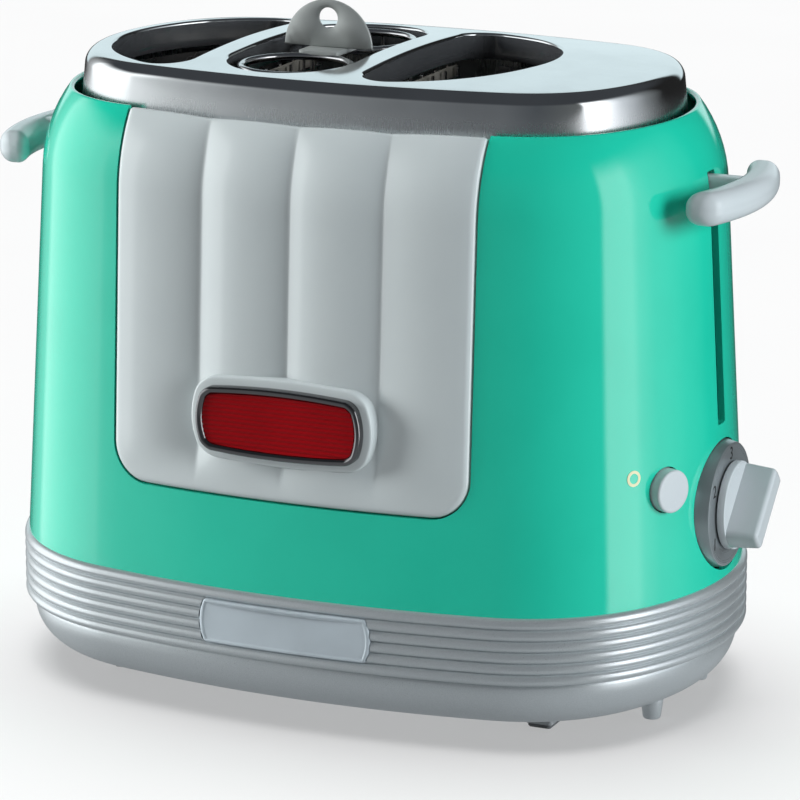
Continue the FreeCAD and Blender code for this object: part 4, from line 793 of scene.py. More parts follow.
class Growth:
    """A Geometry Nodes tree built by calls, with named size inputs."""

    def __init__(self, name: str, sizes: dict[str, float | int]) -> None:
        """Starts a tree.

        Args:
            name: The tree's name.
            sizes: Each input's name and value; whole numbers become integer sockets.
        """
        self.tree = bpy.data.node_groups.new(name, "GeometryNodeTree")
        self.sizes = sizes
        self.keys: dict[str, str] = {}
        face = self.tree.interface
        face.new_socket("Geometry", in_out="INPUT", socket_type="NodeSocketGeometry")
        face.new_socket("Geometry", in_out="OUTPUT", socket_type="NodeSocketGeometry")
        for key, value in sizes.items():
            kind = "NodeSocketInt" if isinstance(value, int) else "NodeSocketFloat"
            self.keys[key] = face.new_socket(key, in_out="INPUT", socket_type=kind).identifier
        self.source = self.tree.nodes.new("NodeGroupInput")

    def node(self, kind: str, settings: dict[str, Any] | None = None,
             inputs: dict[int | str, Any] | None = None) -> bpy.types.Node:
        """Adds a node.

        Args:
            kind: The node's type.
            settings: Its attributes.
            inputs: Values, sockets, or names of the tree's sizes, by socket name or number.

        Returns:
            The node.
        """
        node = self.tree.nodes.new(kind)
        for key, value in (settings or {}).items():
            setattr(node, key, value)
        for key, value in (inputs or {}).items():
            socket = node.inputs[key]
            if isinstance(value, str) and value in self.keys:
                value = self.source.outputs[value]
            if isinstance(value, bpy.types.NodeSocket):
                self.tree.links.new(value, socket)
            else:
                socket.default_value = value
        return node

    def tube(self, path: bpy.types.NodeSocket, radius: Any, around: int) -> bpy.types.NodeSocket:
        """A round wire along a curve.

        Args:
            path: The curve.
            radius: A number, or the name of a size.
            around: Points round the wire.

        Returns:
            The mesh.
        """
        ring = self.node("GeometryNodeCurvePrimitiveCircle", {}, {
            "Resolution": around, "Radius": radius})
        wire = self.node("GeometryNodeCurveToMesh", {}, {
            "Curve": path, "Profile Curve": ring.outputs["Curve"], "Fill Caps": True})
        return wire.outputs["Mesh"]

    def straight(self, start: Sequence[float], stop: Sequence[float], radius: Any, around: int
                 ) -> bpy.types.NodeSocket:
        """A straight round wire between two places, in metres."""
        line = self.node("GeometryNodeCurvePrimitiveLine", {}, {"Start": start, "End": stop})
        return self.tube(line.outputs["Curve"], radius, around)

    def copies(self, points: bpy.types.NodeSocket, thing: bpy.types.NodeSocket
               ) -> bpy.types.NodeSocket:
        """One copy of a piece on each point.

        Args:
            points: Where the copies go.
            thing: What is copied.

        Returns:
            The copies, still instances.
        """
        node = self.node("GeometryNodeInstanceOnPoints", {}, {
            "Points": points, "Instance": thing})
        return node.outputs["Instances"]

    def row(self, count: Any, start: Sequence[float], step: Sequence[float]
            ) -> bpy.types.NodeSocket:
        """Points in a straight row.

        Args:
            count: A number, or the name of a size.
            start: The first point, in metres.
            step: From one point to the next.

        Returns:
            The points.
        """
        node = self.node("GeometryNodeMeshLine", {}, {
            "Count": count, "Start Location": start, "Offset": step})
        return node.outputs["Mesh"]

    def join(self, *things: bpy.types.NodeSocket) -> bpy.types.NodeSocket:
        """Several geometries as one.

        Args:
            *things: The geometries.

        Returns:
            All of them.
        """
        node = self.tree.nodes.new("GeometryNodeJoinGeometry")
        for thing in things:
            self.tree.links.new(thing, node.inputs[0])
        return node.outputs[0]

    def bake(self, name: str, result: bpy.types.NodeSocket, finish: Finish,
             base: bpy.types.Mesh | None = None) -> bpy.types.Object:
        """Realizes the result as a plain mesh.

        Args:
            name: The piece's name.
            result: The tree's last geometry.
            finish: What the piece is dressed in.
            base: A mesh that the tree repeats, if it uses one.

        Returns:
            The finished object, at the origin.
        """
        real = self.node("GeometryNodeRealizeInstances", {}, {"Geometry": result})
        dressed = self.node("GeometryNodeSetMaterial", {}, {
            "Geometry": real.outputs[0], "Material": finish.material()})
        end = self.tree.nodes.new("NodeGroupOutput")
        self.tree.links.new(dressed.outputs[0], end.inputs[0])
        thing = add(name, base or bpy.data.meshes.new(name))
        modifier = thing.modifiers.new("grow", "NODES")
        modifier.node_group = self.tree
        for key, value in self.sizes.items():
            modifier[self.keys[key]] = value
        baked(thing)
        crisp(thing.data, 40.0)
        return thing


# ---- the housing's plan and wall -----------------------------------------------------------


@dataclass
class Outline:
    """The oval that the housing follows: eight arcs, each moved in evenly."""

    length: float = 280.0
    width: float = 184.0
    front_radius: float = 414.0
    corner_radius: float = 71.0
    end_radius: float = 101.0

    def contour(self, step: float = 2.4) -> Contour:
        """The outline as a contour, anticlockwise from +X.

        Args:
            step: Rough distance between points.

        Returns:
            The contour.
        """
        end_x = self.length / 2 - self.end_radius
        far_y = self.front_radius - self.width / 2
        reach = self.front_radius - self.corner_radius
        gap = math.hypot(end_x, far_y)
        ux, uy = end_x / gap, far_y / gap
        along = (reach ** 2 - (self.end_radius - self.corner_radius) ** 2 + gap ** 2) / (2 * gap)
        off = math.sqrt(reach ** 2 - along ** 2)
        cx, cy = along * ux + off * uy, -far_y + along * uy - off * ux
        low = math.degrees(math.atan2(cy, cx - end_x))
        high = math.degrees(math.atan2(cy + far_y, cx))
        quarter = [((end_x, 0.0), self.end_radius, 0.0, low),
                   ((cx, cy), self.corner_radius, low, high),
                   ((0.0, -far_y), self.front_radius, high, 90.0)]
        parts = list(quarter)
        for (x, y), radius, start, stop in reversed(quarter):
            parts.append(((-x, y), radius, 180 - stop, 180 - start))
        for (x, y), radius, start, stop in list(parts):
            parts.append(((-x, -y), radius, 180 + start, 180 + stop))
        return Contour.arcs(parts, step)

    def front(self, x: float) -> float:
        """How far the front face lies behind its middle, at x."""
        return self.front_radius - math.sqrt(self.front_radius ** 2 - x * x)


@dataclass
class Wall:
    """The shell's upright section: a leaning wall that rolls over at the shoulder."""

    foot: float = 49.5
    ring_top: float = 52.5
    lean: float = 8.1
    shoulder: float = 194.0
    bend: float = 53.0
    lip: float = 222.8
    thickness: float = 2.5

    def point(self, travel: float) -> tuple[float, float, float, float]:
        """A point of the outer face.

        Args:
            travel: Distance along the section from the ring's top.

        Returns:
            Inset, height, and the outward direction's inset and height parts.
        """
        rise = self.shoulder - self.ring_top
        run = math.hypot(rise, self.lean)
        cos, sin = rise / run, self.lean / run
        if travel <= run:
            return self.lean * travel / run, self.ring_top + rise * travel / run, -cos, sin
        angle = math.asin(sin) + (travel - run) / self.bend
        inset = self.lean + self.bend * (cos - math.cos(angle))
        return (inset, self.shoulder + self.bend * (math.sin(angle) - sin),
                -math.cos(angle), math.sin(angle))

    def travel_to(self, height: float) -> float:
        """Distance along the section to a height.

        Args:
            height: Height of the outer face.

        Returns:
            The distance from the ring's top.
        """
        rise = self.shoulder - self.ring_top
        run = math.hypot(rise, self.lean)
        if height <= self.shoulder:
            return (height - self.ring_top) / rise * run
        sin = self.lean / run
        angle = math.asin((height - self.shoulder) / self.bend + sin)
        return run + (angle - math.asin(sin)) * self.bend

    def inset(self, height: float) -> float:
        """How far the outer face lies inside the outline at a height."""
        return self.point(self.travel_to(height))[0]

    def profile(self) -> list[Point2]:
        """The closed section, outer face up, lip, inner face down.

        Returns:
            The (inset, height) points.
        """
        end = self.travel_to(self.lip)
        steps = [end * k / 44 for k in range(45)]
        outer = [(0.0, self.foot)] + [self.point(t)[:2] for t in steps]
        inset, height, out, up = self.point(end)
        half = self.thickness / 2
        centre = (inset - out * half, height - up * half)
        start = math.degrees(math.atan2(up, out))
        lip = bend(centre, half, start, start - 180, 8)[1:-1]
        inner = [(x - o * self.thickness, z - u * self.thickness)
                 for x, z, o, u in (self.point(t) for t in reversed(steps))]
        return outer + lip + inner + [(self.thickness, self.foot)]


OUTLINE = Outline()
WALL = Wall()


def rod(name: str, radius: float, start: Sequence[float], stop: Sequence[float],
        count: int = 64) -> bpy.types.Object:
    """A plain round cutter between two points, in millimetres.

    Args:
        name: The cutter's name.
        radius: Its radius.
        start: Middle of one end.
        stop: Middle of the other end.
        count: Points round it.

    Returns:
        The object.
    """
    a, b = Vector(start) * MM, Vector(stop) * MM
    bm = bmesh.new()
    bmesh.ops.create_cone(bm, cap_ends=True, segments=count, radius1=radius * MM,
                          radius2=radius * MM, depth=(b - a).length)
    turn = Vector((0, 0, 1)).rotation_difference((b - a).normalized()).to_matrix().to_4x4()
    bm.transform(Matrix.Translation((a + b) / 2) @ turn)
    return piece(name, bm, INK)


def slab(name: str, plan: Contour, low: float, high: float, facing: Facing = Facing.UP
         ) -> bpy.types.Object:
    """A plain cutter: a plan carried between two depths, in millimetres."""
    return solid(name, plan, [(0, low), (0, high)], INK, facing)


def crate(name: str, low: Sequence[float], high: Sequence[float]) -> bpy.types.Object:
    """A plain block cutter, in millimetres.

    Args:
        name: The cutter's name.
        low: The corner with the least values.
        high: The corner with the greatest values.

    Returns:
        The object.
    """
    bm = bmesh.new()
    bmesh.ops.create_cube(bm, size=1.0)
    size = Vector(high) - Vector(low)
    bm.transform(Matrix.Translation((Vector(low) + Vector(high)) * 0.5 * MM)
                 @ Matrix.Diagonal((*(size * MM), 1.0)))
    return piece(name, bm, INK)


# ---- base ----------------------------------------------------------------------------------


@dataclass
class Base:
    """Ribbed ring, pan, feet, nameplate and crumb-tray handle."""

    pan_top: float = 26.0
    pitch: float = 4.2
    ribs: int = 5
    proud: float = 1.8
    rib_radius: float = 2.2
    top_rib: float = 5.5
    wall: float = 5.0
    bottom: float = 7.0
    step: float = 1.6
    bend: float = 17.0
    sheet: float = 2.5
    flat: float = 40.0
    roll: float = 2.6
    seat: Pair = (2.6, 2.9)  # inset, depth
    door: Quad = (-97.0, 53.0, 30.2, 42.8)  # x from and to, z from and to
    behind: Pair = (20.0, 120.0)  # y from and to
    gap: float = 0.5
    plate: Quad = (1.8, 69.0, 38.6, 16.8)  # middle x, width, middle z, height
    bow: Pair = (2.0, 24.0)  # how far its ends bow out, and the x past which they do
    pegs: Triple = (120.5, 25.0, 4.6)  # x, y, radius
    feet_at: Pair = (86.0, 45.0)
    foot: Triple = (11.0, 14.0, 1.6)  # width, length, corner

    def ring_profile(self, steps: int = 9) -> list[Point2]:
        """The ring's closed section.

        Args:
            steps: Steps round each rib.

        Returns:
            The (inset, height) points.
        """
        reach = math.degrees(math.asin(self.pitch / 2 / self.rib_radius))
        centre = self.rib_radius - self.proud
        points: list[Point2] = []
        for k in range(self.ribs):
            z = self.pan_top + self.pitch * (k + 0.5)
            points += bend((centre, z), self.rib_radius, 180 + reach, 180 - reach, steps)[:-1]
        low = self.pan_top + self.pitch * self.ribs
        valley = centre - self.rib_radius * math.cos(math.radians(reach))
        points += [(valley, low), (-self.proud * 0.75, low + 0.75), (-self.proud, low + 1.7)]
        points += bend((-self.proud + self.roll, low + 2.0), self.roll, 180, 100, 10)
        top = low + self.top_rib
        seat, drop = self.seat
        points += [(0.5, top), (seat, top)]
        inner = valley + self.wall
        return points + [(seat, top - drop), (inner, top - drop), (inner, self.pan_top)]

    def whole_ring(self, name: str) -> bpy.types.Object:
        """The ribbed ring, all the way round."""
        return solid(name, OUTLINE.contour(), self.ring_profile(), SILVER, capped=False, sharp=50)

    def doorway(self, gap: float) -> bpy.types.Object:
        """A block in the crumb tray's doorway.

        Args:
            gap: How much larger it is all round.

        Returns:
            The block.
        """
        x0, x1, z0, z1 = self.door
        y0, y1 = self.behind
        return crate("door", (x0 - gap, y0, z0 - gap), (x1 + gap, y1, z1 + gap))

    def ring(self) -> None:
        """The ring, with the doorway of the crumb tray cut at the back."""
        thing = self.whole_ring("base_ring_ribs")
        doorway = self.doorway(self.gap)
        face = OUTLINE.width / 2 + self.proud
        pocket = self.plate_block("pocket", [(-0.2, face - 1.5), (-0.2, face + 4)])
        carve(thing, [doorway, pocket], sharp=50)
        settle(thing, "housing", "silver_paint", "base_ring")

    def handle(self) -> None:
        """The tray's handle: the piece of ring that fills the doorway."""
        thing = self.whole_ring("tray_handle_ribs")
        carve(thing, [self.doorway(0.0)], "INTERSECT", sharp=50)
        settle(thing, "tray", "silver_paint", "crumb_tray_handle")

    def pan(self) -> None:
        """The rounded pan with its steadying pegs."""
        low, r = self.bottom, self.bend
        centre = (self.step + r, low + r)
        outer = [(3.2, self.pan_top), (2.3, self.pan_top - 0.2), (self.step, self.pan_top - 1.2)]
        outer += bend(centre, r, 180, 270, 22)
        inner = bend(centre, r - self.sheet, 270, 180, 14)
        inner += [(self.step + self.sheet, self.pan_top)]
        bm = bmesh.new()
        rings = sweep(bm, OUTLINE.contour(), outer + [(self.flat, low)], closed=False)
        fill(bm, [rings[-1]])
        inside = sweep(bm, OUTLINE.contour(), [(self.flat, low + self.sheet)] + inner,
                       closed=False)
        fill(bm, [inside[0]])
        lace(bm, [rings[0], inside[-1]])
        *at, radius = self.pegs
        for spot in four(*at):
            plug(bm, round_plan(radius, spot, 32),
                 [(0, 14), (0.2, 9), (1.25, 1.4), (1.6, 0.9), (2.3, 0.75)])
        thing = piece("base_pan_rounded", bm, SILVER, 50)
        settle(thing, "housing", "silver_paint", "base_pan")

    def feet(self) -> None:
        """Four feet and their rubber pads."""
        wide, long, corner = self.foot
        for name, node, slot, finish, inset, low, high in (
                ("feet_blocks", "feet", "foot_plastic", FOOT, 0.0, 1.5, 7.2),
                ("foot_pads_rubber", "foot_pads", "foot_rubber", RUBBER, 0.75, 0.0, 1.5)):
            bm = bmesh.new()
            for spot in four(*self.feet_at):
                plan = block_plan(wide - inset * 2, long - inset * 2, corner, spot)
                plug(bm, plan, [(0.5, low), (0.0, low + 0.5), (0.0, high)])
            settle(piece(name, bm, finish), "housing", slot, node)

    def plate_block(self, name: str, profile: Sequence[Point2]) -> bpy.types.Object:
        """A block with bowed ends that follows the curve of the front.

        Args:
            name: The block's name.
            profile: The (inset, depth) points, depth in front of y = 0.

        Returns:
            The object.
        """
        middle, width, level, height = self.plate
        bow, straight = self.bow
        plan = block_plan(width - bow * 2, height, 1.2, (0.0, level), 0.25)
        spots = plan.points.copy()
        share = (spots[:, 1] - level) / (height / 2)
        ends = np.abs(spots[:, 0]) > straight
        spots[:, 0] += np.sign(spots[:, 0]) * bow * (1 - share ** 2) * ends
        spots[:, 0] += middle
        plan = Contour.of(spots)
        bm = bmesh.new()
        plug(bm, plan, profile, Facing.FRONT)
        for vert in bm.verts:
            vert.co.y += OUTLINE.front(vert.co.x / MM) * MM
        return piece(name, bm, PLATE, 50)

    def nameplate(self) -> None:
        """A bare satin plate with bowed ends, set into the ribs."""
        face = OUTLINE.width / 2 + self.proud
        thing = self.plate_block("nameplate_bare", [
            (0.1, face - 2), (0.1, face - 0.55), (0.28, face - 0.15), (0.6, face),
            (1.3, face), (1.5, face - 0.22), (1.9, face - 0.25)])
        settle(thing, "housing", "plate_metal", "nameplate")

    def build(self) -> None:
        """Makes every piece of the base."""
        self.ring()
        self.handle()
        self.pan()
        self.feet()
        self.nameplate()


# ---- shell, panel and badge ------------------------------------------------------------------


@dataclass
class Shell:
    """The enamelled shell and the printed ring beside the button."""

    slot: Triple = (7.5, 109.0, 203.5)  # width, z from and to
    dial: Pair = (24.55, DIAL_HEIGHT)  # radius, z
    button: Triple = (8.5, 93.0, 23.0)  # radius, z, azimuth
    gland: Triple = (6.3, 60.0, 64.5)  # radius, x, z
    opening: Quad = (143.6, 85.7, 200.0, 15.3)  # width, lower edge, height, corner
    mark: Triple = (122.2, -52.1, 99.8)  # x, y, z
    mark_radii: Pair = (2.95, 1.9)  # outer, inner
    ink: Pair = (-0.05, 0.09)  # from under the surface to above it

    def window(self) -> bpy.types.Object:
        """The cutter for the front panel's window.

        Returns:
            The cutter.
        """
        width, low, tall, corner = self.opening
        plan = block_plan(width, tall, corner, (0.0, low + tall / 2), 0.5)
        return slab("window", plan, 20, 120, Facing.FRONT)

    def on_end(self, height: float, azimuth: float, proud: float) -> Vector:
        """A point on the control end's wall, in millimetres.

        Args:
            height: Height.
            azimuth: Degrees from +X towards the front.
            proud: Distance outside the wall.

        Returns:
            The point.
        """
        reach = OUTLINE.end_radius - WALL.inset(height) + proud
        a = math.radians(azimuth)
        x = OUTLINE.length / 2 - OUTLINE.end_radius
        return Vector((x + reach * math.cos(a), -reach * math.sin(a), height))

    def build(self) -> None:
        """Makes the shell and its print."""
        thing = solid("shell_enamelled", OUTLINE.contour(1.6), WALL.profile(), ENAMEL,
                      capped=False)
        width, low, high = self.slot
        radius, dial_z = self.dial
        hole, hole_z, azimuth = self.button
        gland, gland_x, gland_z = self.gland
        tools = [
            self.window(),
            slab("slots", block_plan(width, high - low, 1.2, (0.0, (low + high) / 2)),
                 -160, 160, Facing.CONTROLS),
            rod("dial_hole", radius, (110, 0, dial_z), (160, 0, dial_z), 96),
            rod("button_hole", hole, self.on_end(hole_z, azimuth, -12),
                self.on_end(hole_z, azimuth, 12)),
            rod("gland_hole", gland, (gland_x, 60, gland_z), (gland_x, 110, gland_z)),
        ]
        carve(thing, tools)
        settle(thing, "housing", "shell_enamel", "body_shell")
        self.print_ring()

    def print_ring(self) -> None:
        """The small cream ring printed beside the button."""
        centre = Vector(self.mark)
        azimuth = math.degrees(math.atan2(
            -self.mark[1], self.mark[0] - (OUTLINE.length / 2 - OUTLINE.end_radius)))
        wide, narrow = self.mark_radii
        sunk, raised = self.ink
        steps = 40
        reach = 98.0  # roughly the wall's own radius there
        bm = bmesh.new()
        rings = []
        for radius, proud in ((wide, sunk), (wide, raised), (narrow, raised), (narrow, sunk)):
            ring = []
            for k in range(steps):
                a = 2 * math.pi * k / steps
                height = centre.z + radius * math.sin(a)
                turn = azimuth + math.degrees(radius * math.cos(a) / reach)
                ring.append(bm.verts.new(self.on_end(height, turn, proud) * MM))
            rings.append(ring)
        lace(bm, rings + rings[:1])
        thing = piece("printed_ring", bm, CREAM)
        settle(thing, "housing", "cream_plastic")


@dataclass
class FrontPanel:
    """The fluted panel, its badge rim and the ribbed lens."""

    half: float = 71.5
    low: float = 86.0
    corner: float = 15.0
    pitch: float = 35.75
    depth: float = 3.2
    thickness: float = 5.0
    edge: float = 2.6
    proud: float = 0.7
    fade: Pair = (88.0, 106.0)  # z where the flutes start, z where they are full
    badge_z: float = 115.8
    badge: Pair = (66.0, 26.4)  # width, height
    bulge: Pair = (3.0, 1.5)  # how far its ends and its long sides bow out
    boss: Triple = (3.2, 80.0, 89.98)  # growth past the rim, root, face
    swell: float = 2.4
    shallow: Pair = (205.0, 0.6)  # z from which the flutes fade, share lost at the lip
    upper_edge: float = 0.7
    grid: tuple[int, int] = (150, 180)  # rows, columns
    lens_rib: Pair = (1.7, 0.32)  # pitch, depth
    lens_depth: float = 2.0

    def relief(self, x: float, height: float) -> float:
        """How far the face stands out from the shell's surface at a place.

        Args:
            x: Place across the panel.
            height: Height.

        Returns:
            The distance.
        """
        radius = (self.pitch ** 2 / 4 + self.depth ** 2) / (2 * self.depth)
        wide = abs(x)
        if wide < self.pitch:
            off = wide - self.pitch / 2
            out = math.sqrt(radius ** 2 - off ** 2) - radius
        else:
            t = min(1.0, (wide - self.pitch) / self.pitch)
            out = -self.depth * (1 - t) + self.swell * 4 * t * (1 - t)
        low, high = self.fade
        keep = min(1.0, max(0.0, (height - low) / (high - low)))
        keep = keep * keep * (3 - 2 * keep)
        start, lost = self.shallow
        over = max(0.0, (height - start) / (WALL.lip - start))
        return out * keep * (1 - lost * over * over) + self.proud

    def build(self) -> None:
        """Makes the panel and the badge."""
        end = WALL.travel_to(WALL.lip)
        start = WALL.travel_to(self.low)
        rows, columns = self.grid
        bm = bmesh.new()
        outer: list[list[bmesh.types.BMVert]] = []
        inner: list[list[bmesh.types.BMVert]] = []
        for r in range(rows + 1):
            t = r / rows
            t = t * 0.85 + 0.15 * (0.5 - 0.5 * math.cos(math.pi * t))
            travel = start + (end - start) * t
            height = WALL.point(travel)[1]
            rise = travel - start
            half = self.half
            if rise < self.corner:
                half -= self.corner - math.sqrt(self.corner ** 2 - (self.corner - rise) ** 2)
            front, back = [], []
            for c in range(columns + 1):
                u = c / columns * 2 - 1
                u = math.sin(u * math.pi / 2) * 0.35 + u * 0.65
                x = u * half
                lift = self.relief(x, height) - self.drop(x, rise, end - travel)
                front.append(bm.verts.new(self.spot(x, travel, lift)))
                back.append(bm.verts.new(self.spot(x, travel, -self.thickness)))
            outer.append(front)
            inner.append(back)
        lace(bm, outer, wrap=False)
        lace(bm, inner, wrap=False)
        lace(bm, [rim_of(outer), rim_of(inner)])
        thing = piece("front_panel_fluted", bm, IVORY, 60)
        grow, root, face = self.boss
        boss = solid("badge_boss", self.outline(grow), [
            (0.0, root), (0.0, 89.3), (0.35, 89.8), (0.9, face)], IVORY, Facing.FRONT, sharp=50)
        merged(thing, boss)
        settle(thing, "housing", "cream_plastic", "front_panel")
        rim = solid("badge_rim", self.outline(0.0), [
            (0.0, face), (0.0, face + 2.5), (0.3, face + 3.2), (1.0, face + 3.6),
            (1.7, face + 3.5), (2.4, face + 2.7), (2.9, face + 1.9), (2.9, face)],
            DARK_CHROME, Facing.FRONT, capped=False, sharp=55)
        settle(rim, "housing", "badge_chrome", "badge_bezel")
        self.lens(face + 2.55)

    @staticmethod
    def spot(x: float, travel: float, lift: float) -> tuple[float, float, float]:
        """A point that stands off the front wall by lift.

        Args:
            x: Place across the panel.
            travel: Place along the wall.
            lift: Distance outside the wall.

        Returns:
            The point, in metres.
        """
        inset, height, out, up = WALL.point(travel)
        radius = OUTLINE.front_radius - inset - out * lift
        middle = OUTLINE.front_radius - OUTLINE.width / 2
        return (x * MM, (middle - math.sqrt(radius ** 2 - x * x)) * MM,
                (height + up * lift) * MM)

    def drop(self, x: float, rise: float, fall: float) -> float:
        """How much the rounded border lowers the face.

        Args:
            x: Place across the panel.
            rise: Distance above the lower edge along the wall.
            fall: Distance below the upper end along the wall.

        Returns:
            The distance.
        """
        side = self.half - abs(x)
        gap = min(side, rise)
        if side < self.corner and rise < self.corner:
            gap = self.corner - math.hypot(self.corner - side, self.corner - rise)
        lowered = 0.0
        for room, radius in ((gap, self.edge), (fall, self.upper_edge)):
            if room < radius:
                lowered += radius - math.sqrt(max(0.0, radius ** 2 - (radius - room) ** 2))
        return lowered

    def outline(self, grow: float) -> Contour:
        """The badge's barrel, grown evenly.

        Args:
            grow: Distance outside the rim's own line.

        Returns:
            The contour.
        """
        width, height = self.badge
        wide, tall = self.bulge
        a, b = width / 2 - wide, height / 2 - tall
        plan = block_plan(a * 2, b * 2, 3.4, step=0.35)
        plan = split_runs(plan, 0.9)
        spots = plan.points.copy()
        x, y = spots[:, 0] / a, spots[:, 1] / b
        spots[:, 0] += np.sign(x) * wide * (1 - y ** 2) * np.abs(x) ** 6
        spots[:, 1] += np.sign(y) * tall * (1 - x ** 2) * np.abs(y) ** 3
        plan = Contour.of(spots)
        plan = Contour(plan.inset(-grow), plan.outward)
        plan.points[:, 1] += self.badge_z
        return plan

    def lens(self, face: float) -> None:
        """The red lens, pressed in fine level ribs.

        Args:
            face: How far the top of its ribs stands in front of the middle.
        """
        plan = self.outline(-2.7).points
        centre = self.badge_z
        top = float(plan[:, 1].max()) - 0.02
        bottom = 2 * centre - top
        pitch, deep = self.lens_rib
        bm = bmesh.new()
        rows = int((top - bottom) / pitch * 8)
        columns = 48
        right = plan[plan[:, 0] > 0]
        order = np.argsort(right[:, 1])
        grid = []
        for r in range(rows + 1):
            z = bottom + (top - bottom) * r / rows
            half = float(np.interp(z, right[order, 1], right[order, 0]))
            rib = deep * abs(math.cos(math.pi * (z - centre) / pitch))
            grid.append([bm.verts.new((half * (2 * c / columns - 1) * MM,
                                       -(face - deep + rib) * MM, z * MM))
                         for c in range(columns + 1)])
        lace(bm, grid, wrap=False)
        edge = rim_of(grid)
        back = [bm.verts.new((v.co.x, -(face - self.lens_depth) * MM, v.co.z)) for v in edge]
        lace(bm, [edge, back])
        bm.faces.new(back)
        thing = piece("badge_lens_ribbed", bm, RED, 60)
        settle(thing, "housing", "badge_red", "badge_lens")


# ---- top cover, openings and sausage basket ----------------------------------------------------


def bun_plan(flat: float, reach: float, half: float, small: float) -> Contour:
    """A D-shaped opening: a flat inner side, rounded corners and one large arc.

    Args:
        flat: x of the flat side.
        reach: x of the arc's furthest point.
        half: Half of the length along the flat side.
        small: Radius of the corners.

    Returns:
        The contour.
    """
    side = 1 if reach > flat else -1
    depth, high = abs(reach - flat), half - small
    radius = (depth * depth - depth * small * 2 + high * high) / (depth * 2 - small * 4)
    x, centre = flat + side * small, reach - side * radius
    turn = math.degrees(math.atan2(high, x - centre))
    if side < 0:
        parts = [((x, high), small, 0, turn), ((centre, 0), radius, turn, 360 - turn),
                 ((x, -high), small, 360 - turn, 360)]
    else:
        parts = [((centre, 0), radius, -turn, turn), ((x, high), small, turn, 180),
                 ((x, -high), small, 180, 360 - turn)]
    return split_runs(Contour.arcs(parts, 1.0), 3.0)


